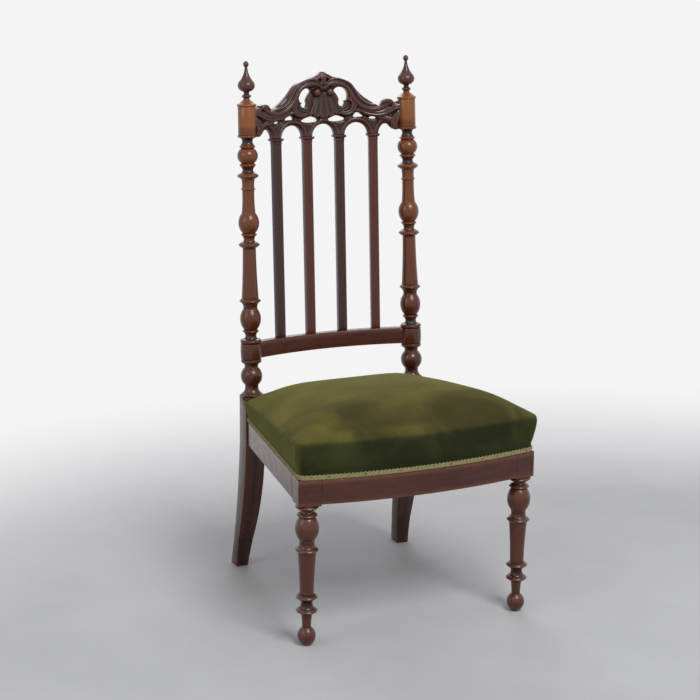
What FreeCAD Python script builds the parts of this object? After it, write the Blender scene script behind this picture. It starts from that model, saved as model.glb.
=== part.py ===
import FreeCAD
import Part
import Sketcher
import math
import os
from FreeCAD import Placement, Rotation, Vector

# High-backed side chair with turned rear posts, a carved and pierced crest rail,
# four upright slats and a sprung, velvet-covered seat. Millimetres, +Z up.
# The sitter faces -Y. "Left" is the -X side, as seen by someone facing the chair.
# The model is drawn from a datum where the side rails meet the rear posts (y = 0)
# and the floor (z = 0), and moved to its own centre at the end.

SIZES = {
    # Seat frame, in plan
    "seat_front_half": 249.7,
    "seat_rear_half": 197.0,
    "seat_depth": 396.5,
    "seat_bow": 28.5,
    "rail_show": 48.0,
    "rail_thick": 26.0,
    "tack_strip_high": 14.0,
    "tack_rebate": 4.0,
    "tenon_thick": 10.0,
    "tenon_high": 30.0,
    "tenon_long": 22.0,
    "joint_clearance": 0.15,
    # Front legs
    "leg_block_wide": 43.7,
    "leg_block_deep": 43.5,
    "leg_block_drop": 3.4,
    "leg_root_long": 3.0,
    "leg_axis_in": 23.7,
    "leg_axis_back": 14.5,
    # Rear legs: a square block with a sabre foot
    "post_half_span": 200.0,
    "post_wide": 42.0,
    "post_deep": 37.5,
    "post_block_high": 50.0,
    "sabre_middle_high": 143.0,
    "sabre_back_middle": 18.3,
    "sabre_back_sweep": 53.0,
    "sabre_front_knee_high": 171.0,
    "sabre_front_knee": 15.0,
    "sabre_ankle_high": 62.0,
    "sabre_ankle": 46.9,
    "sabre_toe": 57.5,
    "sabre_taper": 16.7,
    "sabre_taper_middle": 3.6,
    "sabre_taper_high": 245.0,
    # Leaning back
    "back_lean": 3.65,
    "back_foot_y": -9.3,
    "post_axis_half": 184.6,
    "post_toe_in": 0.5,
    "post_root_long": 6.0,
    "back_bow": 31.0,
    "back_bow_half": 176.0,
    "lower_rail_high": 34.0,
    "lower_rail_thick": 18.5,
    "lower_rail_raise": 1.0,
    "slat_pitch": 71.6,
    "slat_wide": 18.0,
    "slat_deep": 13.5,
    "slat_tenon_wide": 11.0,
    "slat_tenon_deep": 7.0,
    "slat_tenon_long": 9.0,
    "capital_wide": 26.5,
    "capital_deep": 18.5,
    "capital_high": 4.0,
    "necking_gap": 5.0,
    "necking_high": 1.6,
    "necking_proud": 1.2,
    # Crest rail
    "arcade_below_block": 7.4,
    "arch_radius": 24.4,
    "crest_thick": 15.0,
    "crest_high": 130.6,
    "crest_relief": 5.0,
    "crest_tenon_long": 9.0,
    "crest_tenon_high": 34.0,
    "crest_tenon_thick": 8.0,
    "volute_radius": 8.0,
    "volute_out": 14.5,
    "volute_rise": 88.5,
    "flute_top": 2.5,
    "flute_bottom": 7.5,
    "flute_foot_rise": 34.5,
    "flute_top_rise": 84.0,
    "flute_foot_pitch": 14.5,
    "flute_top_pitch": 5.2,
    "apex_leaf_long": 24.0,
    "apex_leaf_drop": 28.0,
    # Finials
    "spigot_wide": 7.0,
    "spigot_long": 20.0,
    # Upholstery
    "cover_thick": 2.0,
    "stuffing_ease": 1.5,
    "cover_bulge": 4.5,
    "cushion_front_high": 78.0,
    "cushion_fall": 0.06,
    "cushion_crown": 50.0,
    "cushion_corner": 16.0,
    "cushion_shoulder": 15.0,
    "cushion_crown_reach": 165.0,
    "seat_tail": 31.0,
    "soft_clearance": 0.3,
    "gimp_high": 9.5,
    "gimp_thick": 1.6,
    "gimp_raise": 1.0,
    "canvas_thick": 1.2,
    "canvas_high": 108.0,
    "canvas_ledge": 24.0,
    "canvas_slope": 40.0,
    "web_wide": 50.0,
    "web_thick": 1.8,
    "web_lap": 15.6,
    "web_pitch_across": 105.0,
    "web_pitch_along": 100.0,
    "web_centre_back": 205.0,
    "spring_wire": 3.4,
    "spring_end_radius": 36.0,
    "spring_waist_radius": 23.0,
    "spring_turns": 5,
    "cloth_thick": 0.8,
    "cloth_margin": 19.0,
    "cloth_tack_inset": 22.5,
    # Corner blocks and small fixings
    "block_reach": 52.0,
    "block_high": 30.0,
    "block_raise": 8.0,
    "screw_long": 34.0,
    "screw_radius": 2.1,
    "screw_head_radius": 4.0,
    "screw_head_high": 2.4,
    "nail_head_radius": 1.8,
    "nail_long": 9.0,
    "nail_radius": 0.6,
    "nail_pitch": 34.0,
    "tack_head_radius": 4.0,
    "tack_head_high": 0.8,
    "tack_long": 10.0,
    "tack_radius": 0.9,
    "tack_pitch": 52.0,
}

# Turned work, listed from the bottom up. A row is a name, a length, a diameter at
# mid-length (0 where the side is straight) and the diameter at its upper end. A row
# of no length is a square shoulder.


def ring(name, long, wide):
    """A half-round ring standing between two square shoulders."""
    edge = wide - 0.84 * long
    return [(name + "_shoulder", 0, 0, edge), (name, long, wide, edge)]


LEG_START = 12.0
LEG_ROWS = [
    ("foot_ball", 36.0, 35.2, 17.0),
    ("ankle", 29.5, 18.5, 22.0),
    *ring("low_ring", 9.2, 42.3),
    ("low_neck_foot", 0, 0, 30.0),
    ("low_neck", 18.0, 22.3, 30.0),
    *ring("knee_ring", 9.2, 42.5),
    ("shaft_foot", 0, 0, 27.0),
    ("shaft", 85.5, 29.6, 35.5),
    *ring("collar", 9.6, 45.6),
    ("waist_foot", 0, 0, 34.0),
    ("waist", 15.4, 28.5, 31.0),
    ("vase", 44.5, 45.8, 31.0),
    *ring("vase_ring", 8.4, 40.0),
    ("top_neck_foot", 0, 0, 32.0),
    ("top_neck", 8.0, 24.0, 34.0),
    *ring("top_ring", 8.6, 45.5),
]

POST_START = 36.0
POST_ROWS = [
    *ring("base_ring", 7.2, 46.5),
    ("base_flare_foot", 0, 0, 38.0),
    ("base_flare", 17.5, 28.0, 29.0),
    ("bulb_low", 34.5, 44.2, 29.0),
    ("low_neck", 9.8, 28.0, 33.0),
    *ring("rail_ring_low", 9.2, 42.5),
    ("barrel_foot", 0, 0, 41.5),
    ("barrel", 31.4, 43.2, 41.5),
    *ring("rail_ring_top", 9.2, 43.8),
    ("mid_neck_foot", 0, 0, 28.0),
    ("mid_neck", 11.8, 22.5, 26.0),
    *ring("vase_foot_ring", 8.6, 33.5),
    ("vase_foot", 0, 0, 28.5),
    ("vase", 41.0, 42.6, 29.5),
    ("vase_neck", 11.8, 29.0, 34.0),
    *ring("shaft_ring", 10.6, 44.0),
    ("shaft_foot", 0, 0, 34.5),
    ("shaft", 103.6, 29.2, 27.0),
    *ring("high_ring", 10.6, 43.6),
    ("high_neck_foot", 0, 0, 26.0),
    ("high_neck", 11.0, 22.0, 26.0),
    *ring("bulb_foot_ring", 8.4, 32.6),
    ("bulb_foot", 0, 0, 28.0),
    ("bulb", 39.2, 42.2, 28.0),
    ("upper_shaft", 46.8, 24.8, 24.6),
    *ring("thin_ring", 3.8, 29.4),
    ("collar_foot", 0, 0, 25.0),
    ("collar_foot_shaft", 19.1, 24.8, 28.0),
    *ring("collar", 11.0, 44.0),
    ("collar_neck_foot", 0, 0, 28.0),
    ("collar_neck", 11.9, 21.4, 28.0),
    *ring("ball_foot_ring", 8.2, 34.0),
    ("ball_foot", 0, 0, 27.0),
    ("ball", 28.8, 41.4, 27.0),
    *ring("ball_cap_ring", 7.6, 33.0),
    ("block_neck_foot", 0, 0, 27.0),
    ("block_neck", 14.3, 20.9, 31.0),
    *ring("block_foot_ring", 5.4, 39.2),
    ("block_foot", 0, 0, 36.0),
    ("block", 56.2, 0, 36.0),
    *ring("block_cap_ring", 5.6, 39.8),
    ("cap", 7.0, 25.0, 17.0),
]

FINIAL_START = 15.0
FINIAL_ROWS = [
    ("seat", 4.6, 12.4, 13.0),
    *ring("bead", 6.8, 18.8),
    ("neck_foot", 0, 0, 12.6),
    ("neck", 5.4, 10.6, 15.0),
    ("bulb", 22.0, 34.4, 25.0),
    ("spire", 26.0, 10.8, 5.2),
    ("tip", 12.2, 11.2, 2.0),
]

for piece, rows in (("leg", LEG_ROWS), ("post", POST_ROWS), ("finial", FINIAL_ROWS)):
    for name, long, middle, end in rows:
        if long:
            SIZES[f"{piece}_{name}_long"] = long
        if middle:
            SIZES[f"{piece}_{name}_middle"] = middle
        SIZES[f"{piece}_{name}_end"] = end

document = FreeCAD.newDocument("side_chair")
sheet = document.addObject("Spreadsheet::Sheet", "sizes")
for row, (alias, number) in enumerate(SIZES.items(), 1):
    sheet.set(f"A{row}", alias)
    sheet.set(f"B{row}", str(number))
    sheet.setAlias(f"B{row}", alias)
document.recompute()

finished = {}


# Helpers

def words(text):
    """An expression with each size's name pointed at the sheet, longest names whole."""
    out = []
    name = ""
    for mark in text + " ":
        if mark.isalnum() or mark == "_":
            name += mark
            continue
        out.append("sizes." + name if name in SIZES else name)
        out.append(mark)
        name = ""
    return "".join(out).strip()


def value(text):
    """The number that an expression of named sizes comes to."""
    return float(sheet.evalExpression(words(text)))


def stack(piece, rows, upto=None):
    """The height of a turned row above the start of its piece, as an expression."""
    parts = []
    for name, long, _, _ in rows:
        if name == upto:
            break
        if long:
            parts.append(f"{piece}_{name}_long")
    return "(" + " + ".join(parts or ["0"]) + ")"


def plane(body, role):
    return next(item for item in body.Origin.OriginFeatures if item.Role == role)


def new_body(label):
    body = document.addObject("PartDesign::Body", label)
    body.Label = label
    return body


def outline(body, name, role, points, offset="0"):
    """A closed sketch. A point is (x, y), or (x, y, "arc") for an arc's own middle."""
    sketch = body.newObject("Sketcher::SketchObject", name)
    sketch.AttachmentSupport = [(plane(body, role), "")]
    sketch.MapMode = "FlatFace"
    sketch.setExpression("AttachmentOffset.Base.z", words(offset))
    corners = [n for n, point in enumerate(points) if len(point) == 2]
    places = [Vector(value(point[0]), value(point[1]), 0) for point in points]
    edges = []
    middles = []
    for start, end in zip(corners, corners[1:] + corners[:1]):
        gap = (end - start) % len(points)
        if gap == 2:
            middle = (start + 1) % len(points)
            edges.append(Part.Arc(places[start], places[middle], places[end]))
            middles.append((len(edges) - 1, middle))
        else:
            edges.append(Part.LineSegment(places[start], places[end]))
    sketch.addGeometry(edges, False)
    marks = sketch.addGeometry([Part.Point(places[n]) for _, n in middles], True)
    ends = []
    for index, corner in enumerate(corners):
        near = (sketch.getPoint(index, 1) - places[corner]).Length
        far = (sketch.getPoint(index, 2) - places[corner]).Length
        ends.append((1, 2) if near < far else (2, 1))
    rules = []
    bindings = []
    for index, corner in enumerate(corners):
        follower = (index + 1) % len(edges)
        rules.append(Sketcher.Constraint("Coincident", index, ends[index][1],
                                         follower, ends[follower][0]))
        bindings.append((index, ends[index][0], corner))
    for mark, (edge, corner) in zip(marks, middles):
        rules.append(Sketcher.Constraint("PointOnObject", mark, 1, edge))
        bindings.append((mark, 1, corner))
    joined = len(rules)
    for geometry, end, corner in bindings:
        x, y, _ = places[corner]
        rules.append(Sketcher.Constraint("DistanceX", -1, 1, geometry, end, x))
        rules.append(Sketcher.Constraint("DistanceY", -1, 1, geometry, end, y))
    sketch.addConstraint(rules)
    for number, (_, _, corner) in enumerate(bindings):
        x, y = points[corner][:2]
        sketch.setExpression(f"Constraints[{joined + 2 * number}]", words(x))
        sketch.setExpression(f"Constraints[{joined + 2 * number + 1}]", words(y))
    return sketch


def pad(body, name, role, points, long, offset="0", both=False):
    sketch = outline(body, name + "_outline", role, points, offset)
    feature = body.newObject("PartDesign::Pad", name)
    feature.Profile = sketch
    feature.Midplane = both
    feature.setExpression("Length", words(long))
    return feature


def pocket(body, name, role, points, long, offset="0", both=False, flip=False):
    """Cut an outline out of a body, and make sure that something was cut."""
    document.recompute()
    before = body.Shape.Volume
    sketch = outline(body, name + "_outline", role, points, offset)
    feature = body.newObject("PartDesign::Pocket", name)
    feature.Profile = sketch
    feature.Midplane = both
    feature.Reversed = flip
    feature.setExpression("Length", words(long))
    document.recompute()
    if body.Shape.Volume > before - 1:
        raise RuntimeError(name + " cut nothing")
    return feature


def block(x0, x1, y0, y1):
    """The four corners of a rectangle."""
    return [(x0, y0), (x1, y0), (x1, y1), (x0, y1)]


def centred(wide, deep):
    return block(f"-({wide}) / 2", f"({wide}) / 2", f"-({deep}) / 2", f"({deep}) / 2")


def turned(label, piece, rows, start, root=None):
    """A turned piece: its half outline, spun about the body's own Z axis.

    The root, where there is one, is a plain stub below the first row that is sunk
    into the block that the turning grows from.
    """
    body = new_body(label)
    points = []
    if root:
        points.append(("0", f"-({root})"))
        points.append((start, f"-({root})"))
    else:
        points.append(("0", "0"))
    points.append((start, "0"))
    reached = []
    for name, long, middle, _ in rows:
        if middle:
            reached.append(f"{piece}_{name}_long / 2")
            points.append((f"{piece}_{name}_middle / 2", " + ".join(reached), "arc"))
            reached.pop()
        if long:
            reached.append(f"{piece}_{name}_long")
        points.append((f"{piece}_{name}_end / 2", " + ".join(reached) or "0"))
    points.append(("0", " + ".join(reached)))
    sketch = outline(body, label + "_profile", "XZ_Plane", points)
    spin = body.newObject("PartDesign::Revolution", label + "_spin")
    spin.Profile = sketch
    spin.ReferenceAxis = (sketch, ["V_Axis"])
    spin.Angle = 360
    return body


def feature(kind, label, **links):
    item = document.addObject(kind, label)
    item.Label = label
    for name, target in links.items():
        setattr(item, name, target)
    return item


def solid_feature(label, shape):
    item = document.addObject("Part::Feature", label)
    item.Label = label
    item.Shape = shape
    return item


def mirrored(label, source):
    """The same piece on the other side of the chair."""
    return feature("Part::Mirroring", label, Source=source, Normal=Vector(1, 0, 0))


def both_sides(shape):
    return [shape, shape.mirror(Vector(0, 0, 0), Vector(1, 0, 0))]


def finish(item):
    finished[item.Label] = item
    return item


# Places that several pieces share

LEG_TOP = stack("leg", LEG_ROWS)
BLOCK_FOOT = LEG_TOP
RAIL_FOOT = f"({LEG_TOP} + leg_block_drop)"
RAIL_TOP = f"({RAIL_FOOT} + rail_show)"
STRIP_TOP = f"({RAIL_TOP} + tack_strip_high)"
POST_TOP = f"({RAIL_TOP} + post_block_high)"
INNER_X = "(seat_front_half - leg_block_wide)"
BLOCK_BACK = "(leg_block_deep - seat_depth)"
POST_INNER = "(post_half_span - post_wide)"
BOW_RADIUS = "((seat_front_half * seat_front_half + seat_bow * seat_bow) / (2 * seat_bow))"
BACK_RADIUS = "((back_bow_half * back_bow_half + back_bow * back_bow) / (2 * back_bow))"


def side_x(y, inset="0"):
    """Half the seat's width at a depth y, less an inset from the rail's outer face."""
    spread = "(seat_front_half - seat_rear_half)"
    return f"(seat_rear_half + {spread} * (-({y})) / seat_depth - ({inset}))"


def bow_y(x, inset="0"):
    """The bowed front face at a width x, less an inset from that face."""
    reach = f"({BOW_RADIUS} - ({inset}))"
    return (f"({BOW_RADIUS} - seat_depth - seat_bow"
            f" - sqrt({reach} * {reach} - ({x}) * ({x})))")


# Heights in the leaning frame of the back are measured along the posts.
lean = value("back_lean")
cos_lean = math.cos(math.radians(lean))
back_frame = Placement(Vector(0, value("back_foot_y"), 0), Rotation(Vector(1, 0, 0), -lean))
post_base = value(POST_TOP) / cos_lean
toe = value("post_toe_in")


def post_axis_x(height):
    return value("post_axis_half") - math.tan(math.radians(toe)) * height


post_frame = back_frame * Placement(
    Vector(post_axis_x(post_base), 0, post_base),
    Rotation(Vector(0, 1, 0), -toe))


def back_height(row):
    """How far up the leaning back a row of the post's turning starts."""
    return post_base + value(stack("post", POST_ROWS, row))


def bow_place(x, height):
    """A place on the bowed back, turned to face along the bow's own radius."""
    radius = value(BACK_RADIUS)
    centre = value("back_bow") - radius
    angle = math.asin(x / radius)
    y = centre + radius * math.cos(angle)
    return Placement(Vector(x, y, height), Rotation(Vector(0, 0, 1), -math.degrees(angle)))


# Front legs

leg_turning = turned("leg_turning", "leg", LEG_ROWS, str(LEG_START / 2))
leg_turning.Placement = Placement(
    Vector(value("seat_front_half - leg_axis_in"), value("leg_axis_back - seat_depth"), 0),
    Rotation())

ROUND_MIDDLE_IN = 0.29  # shares of the front corner's rounding, at the arc's middle
ROUND_MIDDLE_BACK = 0.232
leg_block = new_body("leg_block")


def leg_block_plan(inset):
    corner_y = bow_y("seat_front_half", inset)
    inner_y = bow_y(INNER_X, inset)
    half_way = f"(({side_x('-seat_depth', inset)} + {INNER_X}) / 2)"
    return [
        (side_x("-seat_depth", inset), corner_y),
        (half_way, bow_y(half_way, inset), "arc"),
        (INNER_X, inner_y),
        (INNER_X, BLOCK_BACK),
        (side_x(BLOCK_BACK, inset), BLOCK_BACK),
    ]


def leg_strip_plan():
    """The block's plan inside the rebate, its outer corner rounded as the cover's is."""
    corner_x = side_x("-seat_depth", "tack_rebate")
    corner_y = bow_y("seat_front_half", "tack_rebate")
    front_x = f"({corner_x} - cushion_corner)"
    side_y = f"({corner_y} + cushion_corner)"
    half_way = f"(({front_x} + {INNER_X}) / 2)"
    return [
        (side_x(side_y, "tack_rebate"), side_y),
        (f"{corner_x} - {ROUND_MIDDLE_IN} * cushion_corner",
         f"{corner_y} + {ROUND_MIDDLE_BACK} * cushion_corner", "arc"),
        (front_x, bow_y(front_x, "tack_rebate")),
        (half_way, bow_y(half_way, "tack_rebate"), "arc"),
        (INNER_X, bow_y(INNER_X, "tack_rebate")),
        (INNER_X, BLOCK_BACK),
        (side_x(BLOCK_BACK, "tack_rebate"), BLOCK_BACK),
    ]


pad(leg_block, "leg_block_body", "XY_Plane", leg_block_plan("0"),
    "rail_show + leg_block_drop", BLOCK_FOOT)
pad(leg_block, "leg_block_strip", "XY_Plane", leg_strip_plan(),
    "tack_strip_high", RAIL_TOP)
TENON_FOOT = f"({RAIL_FOOT} + (rail_show - tenon_high) / 2)"
SIDE_TENON_X = side_x(BLOCK_BACK, "rail_thick / 2")
FRONT_TENON_Y = bow_y(INNER_X, "rail_thick / 2")


def widened(points, clearance="joint_clearance"):
    """A rectangle's corners, each moved out by a clearance."""
    (x0, y0), _, (x1, y1), _ = points
    return block(f"{x0} - {clearance}", f"{x1} + {clearance}",
                 f"{y0} - {clearance}", f"{y1} + {clearance}")


side_tenon_front = block(
    f"{SIDE_TENON_X} - tenon_thick / 2", f"{SIDE_TENON_X} + tenon_thick / 2",
    f"{BLOCK_BACK} - tenon_long * 0.6", BLOCK_BACK)
front_tenon = block(
    INNER_X, f"{INNER_X} + tenon_long * 0.6",
    f"{FRONT_TENON_Y} - tenon_thick / 2", f"{FRONT_TENON_Y} + tenon_thick / 2")
pocket(leg_block, "side_mortise", "XY_Plane", widened(side_tenon_front),
       "tenon_high + 2 * joint_clearance", f"{TENON_FOOT} - joint_clearance", flip=True)
pocket(leg_block, "front_mortise", "XY_Plane", widened(front_tenon),
       "tenon_high + 2 * joint_clearance", f"{TENON_FOOT} - joint_clearance", flip=True)
leg_root = feature("Part::Cylinder", "leg_root")
leg_root.setExpression("Radius", words("leg_top_neck_middle / 2"))
leg_root.setExpression("Height", words("2 * leg_root_long"))
leg_root.Placement = Placement(leg_turning.Placement.Base
                               + Vector(0, 0, value(f"{LEG_TOP} - leg_root_long")), Rotation())
front_leg_right = finish(feature("Part::MultiFuse", "front_leg_right",
                                 Shapes=[leg_turning, leg_root, leg_block]))
front_leg_right.Refine = True


# Seat rails, each with a rebate above the show wood for the cover and the gimp

front_rail = finish(new_body("front_seat_rail"))


def front_rail_plan(inset):
    face_y = bow_y(INNER_X, inset)
    inner_y = bow_y(INNER_X, "rail_thick")
    return [
        (f"-{INNER_X}", face_y),
        ("0", bow_y("0", inset), "arc"),
        (INNER_X, face_y),
        (INNER_X, inner_y),
        ("0", bow_y("0", "rail_thick"), "arc"),
        (f"-{INNER_X}", inner_y),
    ]


pad(front_rail, "front_rail_body", "XY_Plane", front_rail_plan("0"), "rail_show", RAIL_FOOT)
pad(front_rail, "front_rail_strip", "XY_Plane", front_rail_plan("tack_rebate"),
    "tack_strip_high", RAIL_TOP)
(near_x, low_y), (far_x, _), (_, high_y), _ = front_tenon
pad(front_rail, "tenon_right", "XY_Plane", front_tenon, "tenon_high", TENON_FOOT)
pad(front_rail, "tenon_left", "XY_Plane",
    block(f"-({far_x})", f"-({near_x})", low_y, high_y), "tenon_high", TENON_FOOT)

side_rail = finish(new_body("side_seat_rail_right"))


def side_rail_plan(inset):
    return [
        (side_x(BLOCK_BACK, inset), BLOCK_BACK),
        (side_x("0", inset), "0"),
        (side_x("0", "rail_thick"), "0"),
        (side_x(BLOCK_BACK, "rail_thick"), BLOCK_BACK),
    ]


SIDE_TENON_REAR_X = side_x("0", "rail_thick / 2")
side_tenon_rear = block(
    f"{SIDE_TENON_REAR_X} - tenon_thick / 2", f"{SIDE_TENON_REAR_X} + tenon_thick / 2",
    "0", "tenon_long")
pad(side_rail, "side_rail_body", "XY_Plane", side_rail_plan("0"), "rail_show", RAIL_FOOT)
pad(side_rail, "side_rail_strip", "XY_Plane", side_rail_plan("tack_rebate"),
    "tack_strip_high", RAIL_TOP)
pad(side_rail, "tenon_front", "XY_Plane", side_tenon_front, "tenon_high", TENON_FOOT)
pad(side_rail, "tenon_rear", "XY_Plane", side_tenon_rear, "tenon_high", TENON_FOOT)

back_rail = finish(new_body("back_seat_rail"))
BACK_RAIL_FRONT = "(seat_tail - rail_thick)"
pad(back_rail, "back_rail_body", "XY_Plane",
    block(f"-{POST_INNER}", POST_INNER, BACK_RAIL_FRONT, "seat_tail"),
    "rail_show", RAIL_FOOT)
pad(back_rail, "back_rail_strip", "XY_Plane",
    block(f"-{POST_INNER}", POST_INNER, BACK_RAIL_FRONT, "seat_tail - tack_rebate"),
    "tack_strip_high", RAIL_TOP)
BACK_TENON_FOOT = f"({RAIL_FOOT} + 4)"
back_tenon_y = f"({BACK_RAIL_FRONT} + tenon_thick * 1.45)"
back_tenon = block(POST_INNER, f"{POST_INNER} + tenon_long * 0.55",
                   f"{back_tenon_y} - tenon_thick * 0.3", f"{back_tenon_y} + tenon_thick * 0.7")


# Rear posts: a sabre leg and square block, with the turned post growing out of it

rear_leg = new_body("rear_leg_blank")
pad(rear_leg, "rear_leg_side", "YZ_Plane", [
    ("0", POST_TOP),
    ("0", RAIL_FOOT),
    ("sabre_front_knee", "sabre_front_knee_high", "arc"),
    ("sabre_ankle", "sabre_ankle_high"),
    ("sabre_ankle + 0.62 * (sabre_toe - sabre_ankle)", "sabre_ankle_high / 2", "arc"),
    ("sabre_toe", "0"),
    ("post_deep + sabre_back_sweep", "0"),
    ("post_deep + sabre_back_middle", "sabre_middle_high", "arc"),
    ("post_deep", f"{RAIL_FOOT} + 5"),
    ("post_deep", POST_TOP),
], "post_wide", POST_INNER)
pocket(rear_leg, "rear_leg_taper", "XZ_Plane", [
    (f"{POST_INNER} - 5", "sabre_taper_high"),
    (POST_INNER, "sabre_taper_high"),
    (f"{POST_INNER} + sabre_taper_middle", "sabre_taper_high / 2", "arc"),
    (f"{POST_INNER} + sabre_taper", "0"),
    (f"{POST_INNER} + sabre_taper", "-5"),
    (f"{POST_INNER} - 5", "-5"),
], "4 * sabre_back_sweep + 4 * post_deep", both=True)
pocket(rear_leg, "rear_side_mortise", "XY_Plane",
       widened(side_tenon_rear), "tenon_high + 2 * joint_clearance",
       f"{TENON_FOOT} - joint_clearance", flip=True)

post_turning = turned("post_turning", "post", POST_ROWS, str(POST_START / 2),
                      "post_root_long")
post_turning.Placement = post_frame
document.recompute()

post_blank = feature("Part::MultiFuse", "post_blank", Shapes=[rear_leg, post_turning])
post_blank.Refine = True


# Crest rail, drawn flat in the leaning frame and cut from a bowed board

SPRING_HEIGHT = back_height("block_foot_ring") - value("arcade_below_block")
BLOCK_MIDDLE = back_height("block") + value("post_block_long / 2")
slat_places = [(n - 1.5) * value("slat_pitch") for n in range(4)]


def bowed_board(behind, ahead, low, high, half):
    """A board bent to the back's bow, from so far behind its middle to so far ahead."""
    radius = value(BACK_RADIUS)
    centre = Vector(0, value("back_bow") - radius, low)
    outer = Part.makeCylinder(radius + behind, high - low, centre)
    inner = Part.makeCylinder(radius - ahead, high - low, centre)
    window = Part.makeBox(2 * half, 4 * value("back_bow"), high - low,
                          Vector(-half, -2 * value("back_bow"), low))
    return outer.cut(inner).common(window)


def through(wire):
    """A flat outline pushed right through the back, front to rear."""
    reach = 6 * value("crest_thick")
    moved = Part.Face(wire)
    moved.translate(Vector(0, -reach, 0))
    return moved.extrude(Vector(0, 2 * reach, 0))


def at(points, side=1):
    """Outline points given as a width and a height above the arcade's springing."""
    return [Vector(side * x, 0, SPRING_HEIGHT + rise) for x, rise in points]


def curve(points, closed=False):
    line = Part.BSplineCurve()
    line.interpolate(points, PeriodicFlag=closed)
    return line.toShape()


def closed_curve(points, side=1):
    return Part.Wire([curve(at(points, side), closed=True)])


crest_end = post_axis_x(BLOCK_MIDDLE)
apex = value("crest_high")
arch = value("arch_radius")
pitch = value("slat_pitch")
pier = pitch / 2 - arch

# The top line from the leaf at the centre down the big scroll to the tip of its leaf.
SCROLL_TOP = [(0, apex), (11, apex - 4.5), (24, apex - 10.5), (43, apex - 16.2),
              (57, apex - 22.2), (67, apex - 30.5), (76, apex - 41.5), (86, apex - 52),
              (98, apex - 60.5), (115, apex - 71)]
LOBE_TOP = [(124, apex - 74.5), (127.5, apex - 70), (133, apex - 62), (142, apex - 60),
            (150, apex - 65), (crest_end, apex - 66.5)]
LOBE_FOOT = [(crest_end, 9.5), (148, 9.5), (139.5, 13.5), (132.5, 19.4)]
crest_wire_parts = []
for side in (1, -1):
    top = at(SCROLL_TOP, side)
    lobe = at(LOBE_TOP, side)
    foot = at(LOBE_FOOT, side)
    outer_spring = Vector(side * (1.5 * pitch + pier), 0, SPRING_HEIGHT)
    corner = outer_spring + Vector(side * arch * 0.12, 0, arch * 0.47)
    crest_wire_parts += [curve(top), Part.makeLine(top[-1], lobe[0]), curve(lobe),
                         Part.makeLine(lobe[-1], foot[0]), curve(foot),
                         Part.Arc(foot[-1], corner, outer_spring).toShape()]
springs = [(n + 0.5) * pitch for n in range(-2, 2)]
for x in springs:
    left = Vector(x - pier, 0, SPRING_HEIGHT)
    right = Vector(x + pier, 0, SPRING_HEIGHT)
    crest_wire_parts.append(Part.makeLine(left, right))
for x, right_x in zip(springs, springs[1:]):
    left = Vector(x + pier, 0, SPRING_HEIGHT)
    right = Vector(right_x - pier, 0, SPRING_HEIGHT)
    crown = (left + right) * 0.5 + Vector(0, 0, arch)
    crest_wire_parts.append(Part.Arc(left, crown, right).toShape())
crest_wire = Part.Wire(Part.__sortEdges__(crest_wire_parts))

# Openings of one half: beside the fan, under the fan, above an arch and by the post.
OPENINGS = [
    [(27, 91), (31, 96.5), (40, 97.2), (49, 92.5), (55, 82), (55.5, 71), (51.5, 63.5),
     (43, 58.5), (38, 63), (38.5, 72.5), (33.5, 83)],
    [(11, 31.5), (24, 39.5), (38, 38.5), (52, 31.5), (37, 28.2), (22, 28.6)],
    [(67, 36.8), (74, 44.6), (82, 41), (88, 36), (77, 36.6)],
    [(98, 32.5), (107, 35), (116, 30.5), (106, 30.2)],
]
# Raised carving of one half: the big scroll, the scroll under it, and the hook leaf.
RAISED = [
    [(4, 122), (14, 119), (26, 113.5), (44, 108), (58, 101.5), (70, 90), (80, 78),
     (92, 66.5), (108, 58), (112, 54), (98, 52.5), (84, 58), (72, 70), (63, 84),
     (53, 96.5), (40, 103), (27, 102.5), (15, 97), (6, 106)],
    [(88, 56), (100, 47.5), (114, 45), (130, 47), (144, 54), (151, 58), (152, 46),
     (140, 35.5), (122, 33.5), (106, 38), (92, 46)],
    [(40, 50), (52, 48.5), (60, 53), (63, 62), (60, 72), (66, 74), (72, 64), (74, 52),
     (66, 43.5), (54, 40), (42, 42)],
]
crest_half_thick = value("crest_thick / 2")
relief = value("crest_relief")
board_high = SPRING_HEIGHT + apex + 10
board = bowed_board(crest_half_thick, crest_half_thick, SPRING_HEIGHT, board_high, crest_end)
carved_board = bowed_board(crest_half_thick, crest_half_thick + relief,
                           SPRING_HEIGHT, board_high, crest_end)
crest = board.common(through(crest_wire))
for side in (1, -1):
    for points in OPENINGS:
        crest = crest.cut(through(closed_curve(points, side)))
raised = [carved_board.common(through(closed_curve(points, side)))
          for points in RAISED for side in (1, -1)]
fan_face = value("back_bow") - crest_half_thick
flutes = []
for n in range(-2, 3):
    sunk = abs(n)
    foot = Vector(value("flute_foot_pitch") * n, fan_face - 0.8 * sunk,
                  SPRING_HEIGHT + value("flute_foot_rise") + 3.2 * sunk)
    top = Vector(value("flute_top_pitch") * n, fan_face,
                 SPRING_HEIGHT + value("flute_top_rise"))
    flutes.append(Part.makeCone(value("flute_bottom"), value("flute_top"), (top - foot).Length,
                                foot, top - foot))
volutes = [Part.makeSphere(value("volute_radius"),
                           Vector(side * value("volute_out"), fan_face - 1,
                                  SPRING_HEIGHT + value("volute_rise")))
           for side in (1, -1)]
leaf_foot = SPRING_HEIGHT + apex - value("apex_leaf_drop")
leaf = Part.makeCone(value("flute_bottom") * 0.4, value("flute_bottom"),
                     value("apex_leaf_long"), Vector(0, fan_face + 1.5, leaf_foot),
                     Vector(0, 0, 1))
crest = crest.fuse(raised + flutes + volutes + [leaf])



def post_room(radius, low, high):
    """Both posts as plain rods between two heights, to cut the rails' ends back with."""
    rod = Part.makeCylinder(value(radius) + value("joint_clearance"), high - low,
                            Vector(post_axis_x(low), 0, low),
                            Vector(-math.sin(math.radians(toe)), 0,
                                   math.cos(math.radians(toe))))
    return both_sides(rod)


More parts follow.
